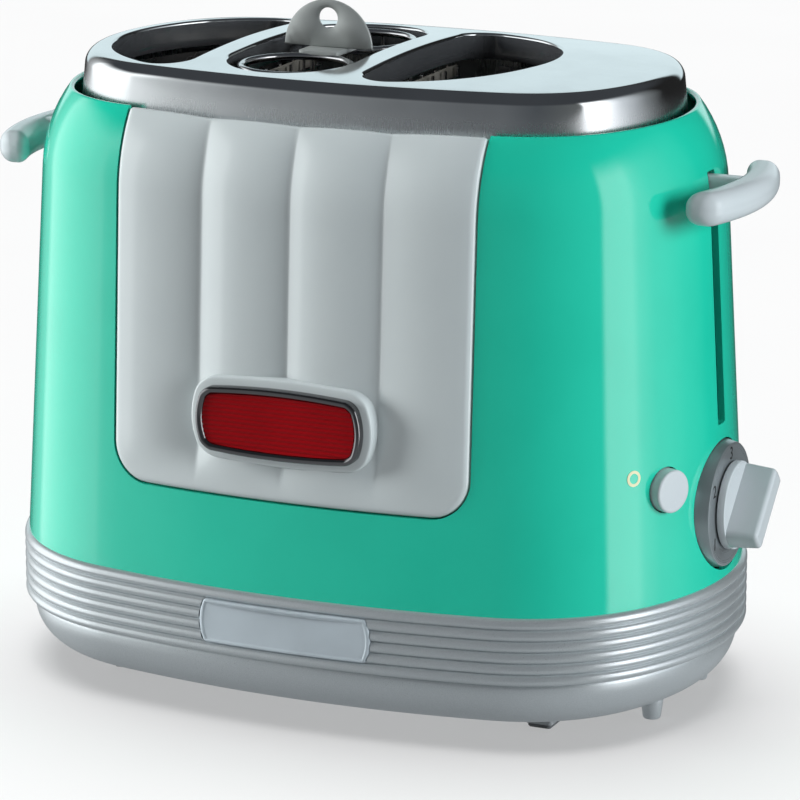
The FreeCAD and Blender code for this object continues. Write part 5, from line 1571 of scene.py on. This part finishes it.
@dataclass
class Cover:
    """The steel cover, slightly crowned, its three openings and their collars."""

    skirt: tuple[Point2, Point2] = ((23.0, 214.2), (24.7, 231.5))  # its foot and its bend
    top: float = 237.0
    sheet: float = 1.2
    bend: float = 5.5
    crown: float = 2.6
    flange: Triple = (21.2, 26.5, 213.0)  # inset from and to, z of its underside
    rim: float = 1.1
    collar: Pair = (226.8, 1.0)  # lower end, wall
    openings: list[Contour] = field(default_factory=lambda: [
        bun_plan(-57.0, -106.0, 53.5, 11.0),
        split_runs(Contour.arcs([((-22, 30.5), 24.5, 0, 180),
                                 ((-22, -30.5), 24.5, 180, 360)], 1.0), 3),
        bun_plan(13.0, 68.0, 54.5, 11.0)])

    def raise_plate(self, bm: bmesh.types.BMesh, edge: float, floor: float) -> None:
        """Lifts the plate to its crown.

        Args:
            bm: The mesh, in metres.
            edge: Inset at which the crown starts.
            floor: Only vertices above this height move, in millimetres.
        """
        ring = OUTLINE.contour(1.0).points
        reach = OUTLINE.width / 2 - edge
        for vert in bm.verts:
            if vert.co.z < floor * MM:
                continue
            spot = np.array((vert.co.x, vert.co.y)) / MM
            depth = float(np.sqrt(((ring - spot) ** 2).sum(1).min()))
            t = min(1.0, (depth - edge) / reach)
            if t > 0:
                vert.co.z += self.crown * (1 - (1 - t) ** 2) * MM

    @staticmethod
    def web(bm: bmesh.types.BMesh, rings: list[list[bmesh.types.BMVert]], pitch: float = 4.0
            ) -> None:
        """Fills between an outer ring and the holes with even triangles.

        Args:
            bm: Where the faces go.
            rings: The outer ring first, then one ring per hole, all at one height.
            pitch: Distance between the points laid inside, in millimetres.
        """
        known = [vert for ring in rings for vert in ring]
        edges, first = [], 0
        for ring in rings:
            count = len(ring)
            edges += [(first + k, first + (k + 1) % count) for k in range(count)]
            first += count
        spots = np.array([(vert.co.x, vert.co.y) for vert in known]) / MM
        level = known[0].co.z
        grid = [(x, y) for x in np.arange(-116, 116, pitch) for y in np.arange(-66, 66, pitch)]
        inner = [spot for spot in grid if np.sqrt(((spots - spot) ** 2).sum(1).min()) > 1.8]
        flat = [Vector(p) for p in np.vstack([spots, np.array(inner)])]
        out, _, faces, origins, _, _ = delaunay_2d_cdt(flat, edges, [], 1, 1e-5)
        verts = {k: known[origin[0]] for k, origin in enumerate(origins)
                 if origin and origin[0] < len(known)}
        holes = [np.array([vert.co.xy for vert in ring]) / MM for ring in rings[1:]]
        for face in faces:
            middle = sum((out[k] for k in face), Vector((0, 0))) / len(face)
            if any(Cover.within(hole, middle) for hole in holes):
                continue
            for k in face:
                if k not in verts:
                    verts[k] = bm.verts.new((out[k].x * MM, out[k].y * MM, level))
            bm.faces.new([verts[k] for k in face])

    @staticmethod
    def within(ring: np.ndarray, spot: Sequence[float]) -> bool:
        """Whether a spot lies inside a closed ring of points.

        Args:
            ring: The points.
            spot: The place.

        Returns:
            Whether it is inside.
        """
        away = ring - np.array(spot)
        turns = np.diff(np.arctan2(away[:, 1], away[:, 0]), append=math.atan2(*away[0][::-1]))
        turns = (turns + math.pi) % (2 * math.pi) - math.pi
        return abs(float(turns.sum())) > math.pi

    def build(self) -> None:
        """Makes the cover and the collars."""
        (foot, low), (_, bend_z) = self.skirt
        lean = math.atan2(self.skirt[1][0] - foot, bend_z - low)
        wide, deep, base = self.flange
        centre_z = self.top - self.bend
        tangent = centre_z + self.bend * math.sin(lean)
        at = foot + (tangent - low) * math.tan(lean)
        centre = (at + self.bend * math.cos(lean), centre_z)
        start = 180 - math.degrees(lean)
        slope = math.atan(2 * self.crown / (OUTLINE.width / 2 - centre[0]))
        stop = 90 + math.degrees(slope)
        outer = [(deep, base), (wide, base), (wide, low), (foot - 0.5, low), (foot, low + 0.5)]
        outer += [(foot + (at - foot) * t, low + (tangent - low) * t) for t in (0.1, 0.5, 0.9)]
        outer += bend(centre, self.bend, start, stop, 18)
        inner = bend(centre, self.bend - self.sheet, stop, start, 8) + [(deep, low)]
        plan = OUTLINE.contour(1.6)
        bm = bmesh.new()
        upper = sweep(bm, plan, outer, closed=False)
        lower = sweep(bm, plan, inner, closed=False)
        lace(bm, [upper[0], lower[-1]])
        tops, unders = [upper[-1]], [lower[0]]
        top = outer[-1][1]
        for hole in self.openings:
            edge = bend((-self.rim, top - self.rim), self.rim, 90, 0, 8)
            edge = [(-self.rim - 0.4, top)] + edge + [(0.0, inner[0][1])]
            rings = sweep(bm, hole, edge, closed=False)
            tops.append(rings[0])
            unders.append(rings[-1])
        self.web(bm, tops)
        self.web(bm, unders, 9.0)
        self.raise_plate(bm, outer[-1][0], inner[0][1] - 0.6)
        thing = piece("cover_polished", bm, CAP_STEEL, 50)
        settle(thing, "housing", "cover_steel", "top_cover")
        low, wall = self.collar
        level = inner[0][1]
        bm = bmesh.new()
        for hole in self.openings:
            sweep(bm, hole, [(0.0, level), (-wall, level), (-wall, low), (-0.2, low),
                             (0.0, low + 0.3), (0.0, low + 3)])
        self.raise_plate(bm, outer[-1][0], low - 1)
        thing = piece("collars_polished", bm, WALL_STEEL, 50)
        settle(thing, "housing", "cover_steel", "opening_collars")


@dataclass
class Basket:
    """The lift-out sausage basket."""

    middle: float = -22.0
    hoop_y: float = 29.0
    radius: float = 20.3
    wire: float = 1.4
    level: float = 235.4
    rod: float = 1.0
    floor: float = 145.2
    base_sheet: float = 1.2
    tab: Pair = (36.0, 237.8)  # width, z of its straight edge
    hole: Pair = (3.9, 248.9)  # radius, z
    strap: Triple = (16.0, 10.1, 1.6)  # width, half length, thickness

    def hoops(self) -> None:
        """Both hoops, each a ring of wire."""
        grow = Growth("hoops", {"Ring radius": self.radius * MM, "Wire radius": self.wire * MM,
                                "Hoops": 2, "Steps": 128})
        ring = grow.node("GeometryNodeCurvePrimitiveCircle", {}, {
            "Resolution": "Steps", "Radius": "Ring radius"})
        wire = grow.tube(ring.outputs["Curve"], "Wire radius", 20)
        spots = grow.row("Hoops", (self.middle * MM, -self.hoop_y * MM, self.level * MM),
                         (0, self.hoop_y * 2 * MM, 0))
        thing = grow.bake("hoops_bright", grow.copies(spots, wire), HOOP_CHROME)
        settle(thing, "basket", "cover_steel", "basket_hoops")

    def rods(self) -> None:
        """Upright rods from the base to the hoops."""
        low = self.floor + self.base_sheet
        high = self.level - self.wire
        grow = Growth("rods", {"Rod radius": self.rod * MM})
        upright = grow.straight((0, 0, low * MM), (0, 0, high * MM), "Rod radius", 20)
        rows = []
        for way in (-1, 1):
            for dx, dy in ((-1, 0), (1, 0), (0, way)):
                x, y = self.middle + self.radius * dx, self.hoop_y * way + self.radius * dy
                rows.append(grow.row(1, (x * MM, y * MM, 0), (0, 0, 0)))
        thing = grow.bake("rods_bright", grow.copies(grow.join(*rows), upright), BASKET_STEEL)
        settle(thing, "basket", "cover_steel", "basket_rods")

    def build(self) -> None:
        """Makes the basket's own pieces."""
        self.hoops()
        self.rods()
        width, foot = self.tab
        half = width / 2
        steps = 48
        plan = Contour.arcs([((self.middle, foot), half - 0.001, 0, 180)], 0.9)
        spots = [tuple(p) for p in plan.points] + [(self.middle - half, foot)]
        plan = split_runs(Contour.of(spots), 3.0)
        hole_r, hole_z = self.hole
        hole = round_plan(hole_r, (self.middle, hole_z), steps)
        bm = bmesh.new()
        edge = sweep(bm, plan, [(0.35, -0.6), (0.0, -0.3), (0.0, 0.3), (0.35, 0.6)],
                     Facing.FRONT, closed=False)
        rim = sweep(bm, hole, [(-0.3, -0.6), (0.0, -0.35), (0.0, 0.35), (-0.3, 0.6)],
                    Facing.FRONT, closed=False)
        fill(bm, [edge[0], rim[0]])
        fill(bm, [edge[-1], rim[-1]])
        wide, reach, sheet = self.strap
        plan = block_plan(wide, reach * 2, 1.0, (self.middle, 0.0))
        plug(bm, plan, [(0.0, foot - sheet), (0.0, foot - 0.2), (0.2, foot)])
        thing = piece("tab_satin", bm, TAB_STEEL, 50)
        settle(thing, "basket", "cover_steel", "basket_tab")


# ---- levers, dial, knob and button --------------------------------------------------------------


@dataclass
class Lever:
    """A curved finger pad on a neck, outside its slot."""

    side: int = 1
    inner: float = 139.0
    depth: float = 13.0
    half: float = 36.0
    middle: float = 196.0
    height: float = 12.5
    curve: float = 90.0
    corner: float = 5.5
    neck: Quad = (127.0, 6.5, 191.0, 202.0)  # x of its root, width, z from and to
    overlap: float = 3.0
    least: float = 0.4
    rows: tuple[int, int] = (9, 44)  # round each end, between the ends

    def build(self) -> None:
        """Makes the lever."""
        word = "right" if self.side > 0 else "left"
        bm = bmesh.new()
        rings = []
        turn, along = self.rows
        ends = [self.corner * (1 - math.cos(math.pi / 2 * k / turn)) for k in range(turn)]
        rows = [-self.half + e for e in ends]
        rows += [(-1 + 2 * k / along) * (self.half - self.corner) for k in range(along + 1)]
        rows += [self.half - e for e in reversed(ends)]
        for y in rows:
            room = self.half - abs(y)
            lost = 0.0
            if room < self.corner:
                lost = self.corner - math.sqrt(self.corner ** 2 - (self.corner - room) ** 2)
            lost = min(lost, self.corner - self.least)
            back = self.curve - math.sqrt(self.curve ** 2 - y * y)
            plan = block_plan(self.depth - lost * 2, self.height - lost * 2,
                              self.corner - lost, (self.inner + self.depth / 2 - back,
                                                   self.middle), 0.7)
            rings.append([(x * self.side * MM, y * MM, z * MM) for x, z in self.even(plan)])
        made = [[bm.verts.new(p) for p in ring] for ring in rings]
        lace(bm, made)
        fill(bm, [made[0]])
        fill(bm, [made[-1]])
        root, width, low, high = self.neck
        plan = block_plan(width, high - low, 1.0, (0.0, (low + high) / 2))
        tip = self.inner + self.overlap
        plug(bm, plan, [(0.0, root * self.side), (0.0, tip * self.side)], Facing.CONTROLS)
        thing = piece(f"lever_{word}_moulded", bm, LEVER_WHITE, 50)
        settle(thing, "carriage", "lever_plastic", f"lever_{word}")

    @staticmethod
    def even(plan: Contour, count: int = 96) -> np.ndarray:
        """A contour's points, shared out evenly from its first.

        Args:
            plan: The contour.
            count: Number of points.

        Returns:
            The points.
        """
        spots = np.vstack([plan.points, plan.points[:1]])
        along = np.concatenate([[0], np.cumsum(np.linalg.norm(np.diff(spots, axis=0), axis=1))])
        places = np.linspace(0, along[-1], count, endpoint=False)
        return np.stack([np.interp(places, along, spots[:, k]) for k in (0, 1)], 1)


@dataclass
class Controls:
    """The numbered ring, its print, the timer knob and the cancel button."""

    height: float = DIAL_HEIGHT
    ring: float = 24.25
    face: float = 140.7
    taper: float = 1.2
    flange: Triple = (27.3, 128.5, 130.5)  # radius, x from and to
    disc: Triple = (16.5, 141.2, 144.2)  # radius, x from and to
    grip: Triple = (11.0, 155.9, 45.0)  # width, x of its tip, turn in degrees
    number: Pair = (19.6, 4.9)  # distance from the middle, height
    bores: Pair = (12.0, 21.5)  # radius in front, radius behind
    letter: float = 1.38
    print_depth: float = 0.04
    print_lift: float = 0.05
    nose: float = 2.6
    tip_round: float = 1.8
    button_head: Triple = (8.0, -8.0, 3.8)  # radius, from and to
    button_stem: Triple = (2.0, -17.0, -7.0)  # radius, from and to

    def build(self) -> None:
        """Makes every control."""
        self.numbered_ring()
        for text, angle in (("1", 215.0), ("2", 152.0), ("3", 90.0), ("4", 28.0), ("5", -35.0)):
            self.print_number(text, angle)
        self.knob()
        self.button()

    def numbered_ring(self) -> None:
        """The tapered ring and its flange."""
        wide, back, front = self.flange
        bore, hollow = self.bores
        r = self.ring
        profile = [(r - wide, back), (r - wide, front), (0.0, front), (0.0, self.face - 5)]
        profile += [(self.taper * 0.86, self.face - 0.7), (self.taper, self.face - 0.25),
                    (self.taper + 0.55, self.face), (self.taper + 1.2, self.face),
                    (r - bore, self.face), (r - bore, back + 6), (r - hollow, back + 6),
                    (r - hollow, back)]
        thing = solid("dial_spun", round_plan(r, (0.0, self.height), 144), profile, DIAL,
                      Facing.CONTROLS, capped=False)
        settle(thing, "housing", "dial_metal", "dial_ring")

    def print_number(self, text: str, angle: float) -> None:
        """One printed number on the ring's face.

        Args:
            text: What is printed.
            angle: Its place, in degrees from +Y towards +Z.
        """
        reach, size = self.number
        curve = bpy.data.curves.new("print", "FONT")
        curve.body = text
        curve.size = size * MM * self.letter
        curve.align_x = "CENTER"
        curve.extrude = self.print_depth * MM
        thing = add(f"dial_number_{text}", curve)
        mesh = evaluated(thing)
        bpy.data.objects.remove(thing)
        bpy.data.curves.remove(curve)
        a = math.radians(angle)
        spots = np.empty(len(mesh.vertices) * 3)
        mesh.vertices.foreach_get("co", spots)
        spots = spots.reshape(-1, 3)
        middle = (spots[:, :2].max(0) + spots[:, :2].min(0)) / 2
        across = spots[:, 0] - middle[0]
        up = spots[:, 1] - middle[1]
        placed = np.stack([
            spots[:, 2] + (self.face + self.print_lift) * MM,
            across + reach * math.cos(a) * MM,
            up + (self.height + reach * math.sin(a)) * MM], 1)
        mesh.vertices.foreach_set("co", placed.ravel())
        settle(link(f"dial_number_{text}", mesh, INK), "housing", "dial_metal")

    def knob(self) -> None:
        """The knob: a disc and a raised grip."""
        radius, back, front = self.disc
        width, tip, turn = self.grip
        centre = (0.0, self.height)
        disc = solid("knob_moulded", round_plan(radius, centre, 128), [
            (radius - 3.2, back), (0.3, back), (0.0, back + 0.3), (0.0, front - 0.5),
            (0.15, front - 0.15), (0.5, front), (1.2, front), (radius - 3.2, front)],
            IVORY_KNOB, Facing.CONTROLS, capped=False)
        small, rounding = self.nose, self.tip_round
        side = width / 2 - small
        wide = radius - 0.15
        end = wide - small
        lean = math.degrees(math.asin(side / end))
        x = math.sqrt(end ** 2 - side ** 2)
        plan = Contour.arcs([
            ((0, 0), wide, -lean, lean), ((x, side), small, lean, 90),
            ((-x, side), small, 90, 180 - lean), ((0, 0), wide, 180 - lean, 180 + lean),
            ((-x, -side), small, 180 + lean, 270), ((x, -side), small, 270, 360 - lean)], 0.4)
        plan = split_runs(plan, 1.5)
        a = math.radians(turn)
        spin = np.array([[math.cos(a), math.sin(a)], [-math.sin(a), math.cos(a)]])
        plan = Contour(plan.points @ spin + np.array(centre), plan.outward @ spin)
        draft = math.tan(math.radians(5))
        top = tip - rounding
        lost = (top - front) * draft
        grip = solid("grip", plan, [(0.0, front - 0.6), (0.0, front + 0.02),
                                    (lost * 0.5, (front + top) / 2)]
                     + bend((lost + rounding, top), rounding, 180, 90, 9)[:-1]
                     + [(lost + rounding, tip), (lost + rounding + 0.3, tip)],
                     IVORY_KNOB, Facing.CONTROLS, sharp=50)
        merged(disc, grip)
        settle(disc, "dial", "lever_plastic", "timer_knob")

    def button(self) -> None:
        """The round cancel button, square to the wall."""
        radius, base, face = self.button_head
        stem, root, tip = self.button_stem
        _, height, azimuth = SHELL.button
        start = SHELL.on_end(height, azimuth, 0.0)
        a = math.radians(azimuth)
        way = Vector((math.cos(a), -math.sin(a), 0.0))
        bm = bmesh.new()
        plug(bm, round_plan(radius, count=80), [
            (0.0, base), (0.0, face - 0.9), (0.12, face - 0.45), (0.45, face - 0.12),
            (0.9, face), (1.6, face)], Facing.CONTROLS)
        plug(bm, round_plan(stem, count=32), [(0.0, root), (0.0, tip)], Facing.CONTROLS)
        bm.transform(Matrix.Translation(start * MM)
                     @ Vector((1, 0, 0)).rotation_difference(way).to_matrix().to_4x4())
        thing = piece("button_moulded", bm, IVORY_KNOB)
        settle(thing, "button", "lever_plastic", "cancel_button")


# ---- inside ------------------------------------------------------------------------------------


@dataclass
class Inside:
    """Wire guards, springs and base screws, and the finishes of the sheet-metal works."""

    guards: tuple[tuple[str, float], ...] = (
        ("bun_guard_left", -54.05), ("sausage_guard_left", -49.45),
        ("sausage_guard_right", 5.45), ("bun_guard_right", 10.05))
    wire: float = 0.6
    pitch: float = 12.0
    levels: Pair = (47.7, 225.0)  # z of the wires' ends
    bars: Pair = (50.0, 221.0)  # z of the cross bars
    rods: tuple[tuple[str, float], ...] = (("left", -120.7), ("right", 79.2))
    rod_y: float = 12.0
    spring: tuple[float, float, float, float, int] = (4.6, 0.5, 47.7, 184.0, 22)  # coil, wire, z, z, turns
    travel: float = 80.0
    screw_grid: Pair = (206.0, 72.0)  # distances between them in x and y
    screw: Pair = (3.6, 1.9)  # radius of the head, radius of the shank

    def guard(self, name: str, x: float) -> None:
        """One guard: upright wires on two cross bars.

        Args:
            name: The CAD node that it stands for.
            x: Where its wires stand.
        """
        low, high = self.levels
        grow = Growth(name, {"Wire radius": self.wire * MM, "Wires": 4})
        upright = grow.straight((0, 0, low * MM), (0, 0, high * MM), "Wire radius", 12)
        step = self.pitch * MM
        near = grow.row("Wires", (x * MM, step, 0), (0, step, 0))
        far = grow.row("Wires", (x * MM, -step, 0), (0, -step, 0))
        span = self.pitch * 4.2 * MM
        bar = grow.straight((0, -span, 0), (0, span, 0), "Wire radius", 12)
        rails = grow.row(2, (x * MM, 0, self.bars[0] * MM),
                         (0, 0, (self.bars[1] - self.bars[0]) * MM))
        thing = grow.bake(name + "_wires", grow.join(
            grow.copies(grow.join(near, far), upright), grow.copies(rails, bar)), WIRE_STEEL)
        settle(thing, "housing", "wire_steel", name)

    def springs(self, word: str, x: float) -> None:
        """The two springs round one side's rods.

        Args:
            word: Which side, left or right.
            x: Where the rods stand.
        """
        radius, wire, low, high, turns = self.spring
        grow = Growth("springs_" + word, {
            "Coil radius": radius * MM, "Wire radius": wire * MM, "Turns": float(turns),
            "Coil height": (high - low - wire * 2) * MM})
        coil = grow.node("GeometryNodeCurveSpiral", {}, {
            "Resolution": 28, "Rotations": "Turns", "Start Radius": "Coil radius",
            "End Radius": "Coil radius", "Height": "Coil height"})
        wound = grow.tube(coil.outputs["Curve"], "Wire radius", 8)
        spots = grow.row(2, (x * MM, -self.rod_y * MM, (low + wire) * MM),
                         (0, self.rod_y * 2 * MM, 0))
        thing = grow.bake(f"springs_{word}_wound", grow.copies(spots, wound), WIRE_STEEL)
        settle(thing, "housing", "wire_steel", "return_springs_" + word)
        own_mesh(thing)

    def screws(self) -> None:
        """The four base screws, one head repeated."""
        head, shank = self.screw
        base = solid("screw", round_plan(head, count=48), [
            (2.6, 6.3), (2.4, 5.35), (2.2, 5.15), (0.7, 5.0), (0.2, 5.25), (0.0, 5.8), (0.0, 7.0)],
            WIRE_STEEL)
        merged(base, solid("shank", round_plan(shank, count=24), [(0.0, 6.9), (0.0, 47.0)],
                           WIRE_STEEL))
        across, along = self.screw_grid
        grow = Growth("screw_grid", {"Across": 2, "Along": 2})
        grid = grow.node("GeometryNodeMeshGrid", {}, {
            "Size X": across * MM, "Size Y": along * MM, "Vertices X": "Across", "Vertices Y": "Along"})
        result = grow.copies(grid.outputs["Mesh"], grow.source.outputs["Geometry"])
        mesh = base.data.copy()
        bpy.data.objects.remove(base)
        thing = grow.bake("screws_turned", result, WIRE_STEEL, mesh)
        settle(thing, "housing", "wire_steel", "base_screws")

    def build(self) -> None:
        """Makes the wires and springs, and dresses every CAD piece left in place."""
        for name, x in self.guards:
            self.guard(name, x)
        for word, x in self.rods:
            self.springs(word, x)
        self.screws()
        dressed = {
            SHEET_STEEL: ("chassis_floor", "chassis_plate_left", "chassis_plate_right",
                          "heat_shield_front", "heat_shield_rear", "carriage_frame",
                          "bun_platform_left", "bun_platform_right", "sausage_platform",
                          "switch_bracket", "crumb_tray"),
            LINER_STEEL: ("bun_reflector_left", "bun_reflector_right"),
            BASKET_STEEL: ("basket_base",),
            WIRE_STEEL: ("guide_rods_left", "guide_rods_right", "knob_shaft"),
            MICA: ("heater_board_left", "heater_board_right"),
            RIBBON: ("heating_ribbon_left", "heating_ribbon_right"),
            BLACK: ("slide_block_left", "slide_block_right", "cancel_switch", "timer",
                    "cable_gland"),
            IRON: ("armature", "electromagnet"),
            BOARD: ("control_board",),
        }
        for finish, names in dressed.items():
            for name in names:
                thing = bpy.data.objects[name]
                thing.data.materials.clear()
                thing.data.materials.append(finish.material())


# ---- studio --------------------------------------------------------------------------------------


@dataclass(frozen=True)
class Lamp:
    """A large, far, soft light that leaves no reflection of its own."""

    name: str
    azimuth: float
    height: float
    spread: float
    power: float
    colour: Colour = (1.0, 1.0, 1.0)

    def hang(self, paper: bpy.types.Object, only: bool) -> None:
        """Adds the light.

        Args:
            paper: The floor.
            only: Whether it lights the floor alone, or all but the floor.
        """
        sun = bpy.data.lights.new(self.name, "SUN")
        sun.energy = self.power
        sun.angle = math.radians(self.spread)
        sun.color = self.colour
        thing = add(self.name, sun)
        turn, rise = math.radians(self.azimuth), math.radians(self.height)
        way = Vector((-math.sin(turn) * math.cos(rise), math.cos(turn) * math.cos(rise),
                      -math.sin(rise)))
        thing.rotation_euler = way.to_track_quat("-Z", "Y").to_euler()
        thing.visible_glossy = False
        lit = bpy.data.collections.new(f"{self.name}_paper")
        lit.objects.link(paper)
        lit.collection_objects[0].light_linking.link_state = "INCLUDE" if only else "EXCLUDE"
        thing.light_linking.receiver_collection = lit


@dataclass
class Studio:
    """Floor, backdrop, lights and camera.

    Azimuths are measured in degrees from -Y towards +X.
    """

    floor: float = 12.0
    glow: float = 0.4
    peak: float = 2.6
    dark: Colour = (0.022, 0.024, 0.027)
    cards: tuple[tuple[float, Colour], ...] = (
        (-180, (0.02, 0.02, 0.02)), (-134, (0.06, 0.06, 0.06)), (-114, (0.6, 0.62, 0.63)),
        (-108, (1.55, 1.6, 1.62)), (-52, (1.6, 1.66, 1.68)), (-47, (0.7, 0.74, 0.75)),
        (-34, (0.33, 0.35, 0.36)), (-8, (0.15, 0.16, 0.17)), (30, (0.09, 0.10, 0.11)),
        (71, (0.15, 0.16, 0.16)), (74, (2.5, 2.55, 2.6)), (94, (2.4, 2.45, 2.5)),
        (99, (1.5, 1.55, 1.6)), (108, (0.8, 0.85, 0.9)), (128, (0.25, 0.27, 0.28)),
        (145, (0.02, 0.02, 0.02)), (180, (0.02, 0.02, 0.02)))
    back: Colour = (0.80, 0.95, 0.99)
    lamps: tuple[Lamp, ...] = (
        Lamp("left_lamp", -77, 13, 26, 4.2, (0.97, 1.0, 1.0)),
        Lamp("right_lamp", 88, 13, 30, 2.9, (0.94, 1.0, 1.03)),
        Lamp("top_lamp", -20, 72, 60, 0.7, (0.97, 1.0, 1.02)),
    )
    paper_lamp: Lamp = Lamp("paper_lamp", -140, 81, 50, 3.55)
    paper: tuple[Colour, Colour] = ((0.80, 0.80, 0.80), (0.81, 0.81, 0.81))
    paper_lit: Colour = (0.36, 0.37, 0.38)
    ground: Colour = (0.115, 0.122, 0.127)
    away: Pair = (0.41, 0.91)  # along -x and y, to the card behind the object
    cards_end: Pair = (0.36, 0.62)  # rise over which the cards give way to the dark
    ground_end: Pair = (-0.5, -0.2)  # rise over which the ground gives way to the cards
    back_card: tuple[Pair, Pair, Pair] = (
        (0.84, 0.90), (-0.05, 0.02), (0.36, 0.42))  # how its sides, foot and top fade
    matt_share: float = 0.4  # of the room's light that matt surfaces get
    lens: float = 188.43
    eye: Triple = (0.6344, -1.4054, 0.5096)
    aim: Pair = (75.24, 24.05)  # tilt and turn, in degrees

    def build(self) -> None:
        """Sets up the studio."""
        paper = self.lay_floor()
        self.surround()
        for lamp in self.lamps:
            lamp.hang(paper, False)
        self.paper_lamp.hang(paper, True)
        self.camera()
        bpy.context.scene.view_settings.view_transform = "Standard"

    def lay_floor(self) -> bpy.types.Object:
        """A paper floor: white to the camera, greyer to what it lights, clear in reflections.

        Returns:
            The floor.
        """
        shader = Shader("paper_floor")
        floor = self.floor_mesh()
        seen = shader.node("ShaderNodeLightPath", output="Is Camera Ray")
        grain = shader.noise(6.0, detail=2.0)
        near = shader.mix(grain.smooth(0.3, 0.7), *self.paper)
        tone = shader.mix(seen, self.paper_lit, near)
        paper = shader.node("ShaderNodeBsdfDiffuse", {}, {"Color": tone})
        glow = shader.node("ShaderNodeEmission", {}, {"Color": (0.97,) * 3, "Strength": 1.0})
        paper = shader.node("ShaderNodeMixShader", {}, {0: seen * self.glow, 1: paper, 2: glow})
        clear = shader.node("ShaderNodeBsdfTransparent")
        mirrored = shader.node("ShaderNodeLightPath", output="Is Glossy Ray")
        floor.data.materials.append(
            shader.end(shader.node("ShaderNodeMixShader", {}, {0: mirrored, 1: paper, 2: clear})))
        return floor

    def surround(self) -> None:
        """White to the camera; to all else a dark room with bright cards low around it."""
        shader = Shader("studio_room", bpy.data.worlds)
        way = shader.node("ShaderNodeTexCoord", output="Generated")
        turn = shader.node("ShaderNodeMath", {"operation": "ARCTAN2"}, {
            0: shader.axis("X", way), 1: shader.axis("Y", way) * -1.0})
        stops = [((place + 180) / 360, tuple(part / self.peak for part in colour))
                 for place, colour in self.cards]
        around = shader.node("ShaderNodeValToRGB", {"stops": stops}, {
            0: turn * (0.5 / math.pi) + 0.5})
        rise = shader.axis("Z", way)
        tone = shader.mix(rise.smooth(*self.cards_end), around, self.dark)
        tone = shader.mix(rise.smooth(*self.ground_end), self.ground, tone)
        across, along = self.away
        ahead = shader.axis("Y", way) * along - shader.axis("X", way) * across
        sides, foot, top = self.back_card
        behind = (ahead.smooth(*sides) * rise.smooth(*foot)
                  * (rise.smooth(*top) * -1.0 + 1.0))
        tone = shader.mix(behind, tone, tuple(part / self.peak for part in self.back))
        matt = shader.node("ShaderNodeLightPath", output="Is Diffuse Ray")
        room = shader.node("ShaderNodeBackground", {}, {
            "Color": tone, "Strength": self.peak - matt * ((1 - self.matt_share) * self.peak)})
        white = shader.node("ShaderNodeBackground", {}, {"Color": (0.985,) * 3, "Strength": 1.0})
        seen = shader.node("ShaderNodeLightPath", output="Is Camera Ray")
        bpy.context.scene.world = shader.end(
            shader.node("ShaderNodeMixShader", {}, {0: seen, 1: room, 2: white}),
            "ShaderNodeOutputWorld")

    def floor_mesh(self) -> bpy.types.Object:
        """A wide flat floor.

        Returns:
            The floor, undressed.
        """
        half = self.floor / 2
        mesh = bpy.data.meshes.new("floor")
        mesh.from_pydata([(-half, -half, 0), (half, -half, 0), (half, half, 0), (-half, half, 0)],
                         [], [(0, 1, 2, 3)])
        return add("floor", mesh)

    def camera(self) -> None:
        """The view from the front, a little above and to the right."""
        lens = bpy.data.cameras.new("view")
        lens.lens = self.lens
        lens.sensor_width = 36.0
        lens.dof.use_dof = False
        lens.clip_start = 0.05
        thing = add("view", lens)
        thing.location = self.eye
        tilt, turn = self.aim
        thing.rotation_euler = (math.radians(tilt), 0.0, math.radians(turn))
        bpy.context.scene.camera = thing


SHELL = Shell()


def main() -> None:
    """Builds the toaster and the studio."""
    logging.basicConfig(level=logging.INFO, format="%(message)s")
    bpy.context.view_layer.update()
    parts = (Base(), SHELL, FrontPanel(), Cover(), Basket(), Lever(-1), Lever(1), Controls(),
             Inside(), Studio())
    for part in parts:
        LOG.info("building %s", type(part).__name__)
        part.build()


if __name__ == "__main__":
    main()
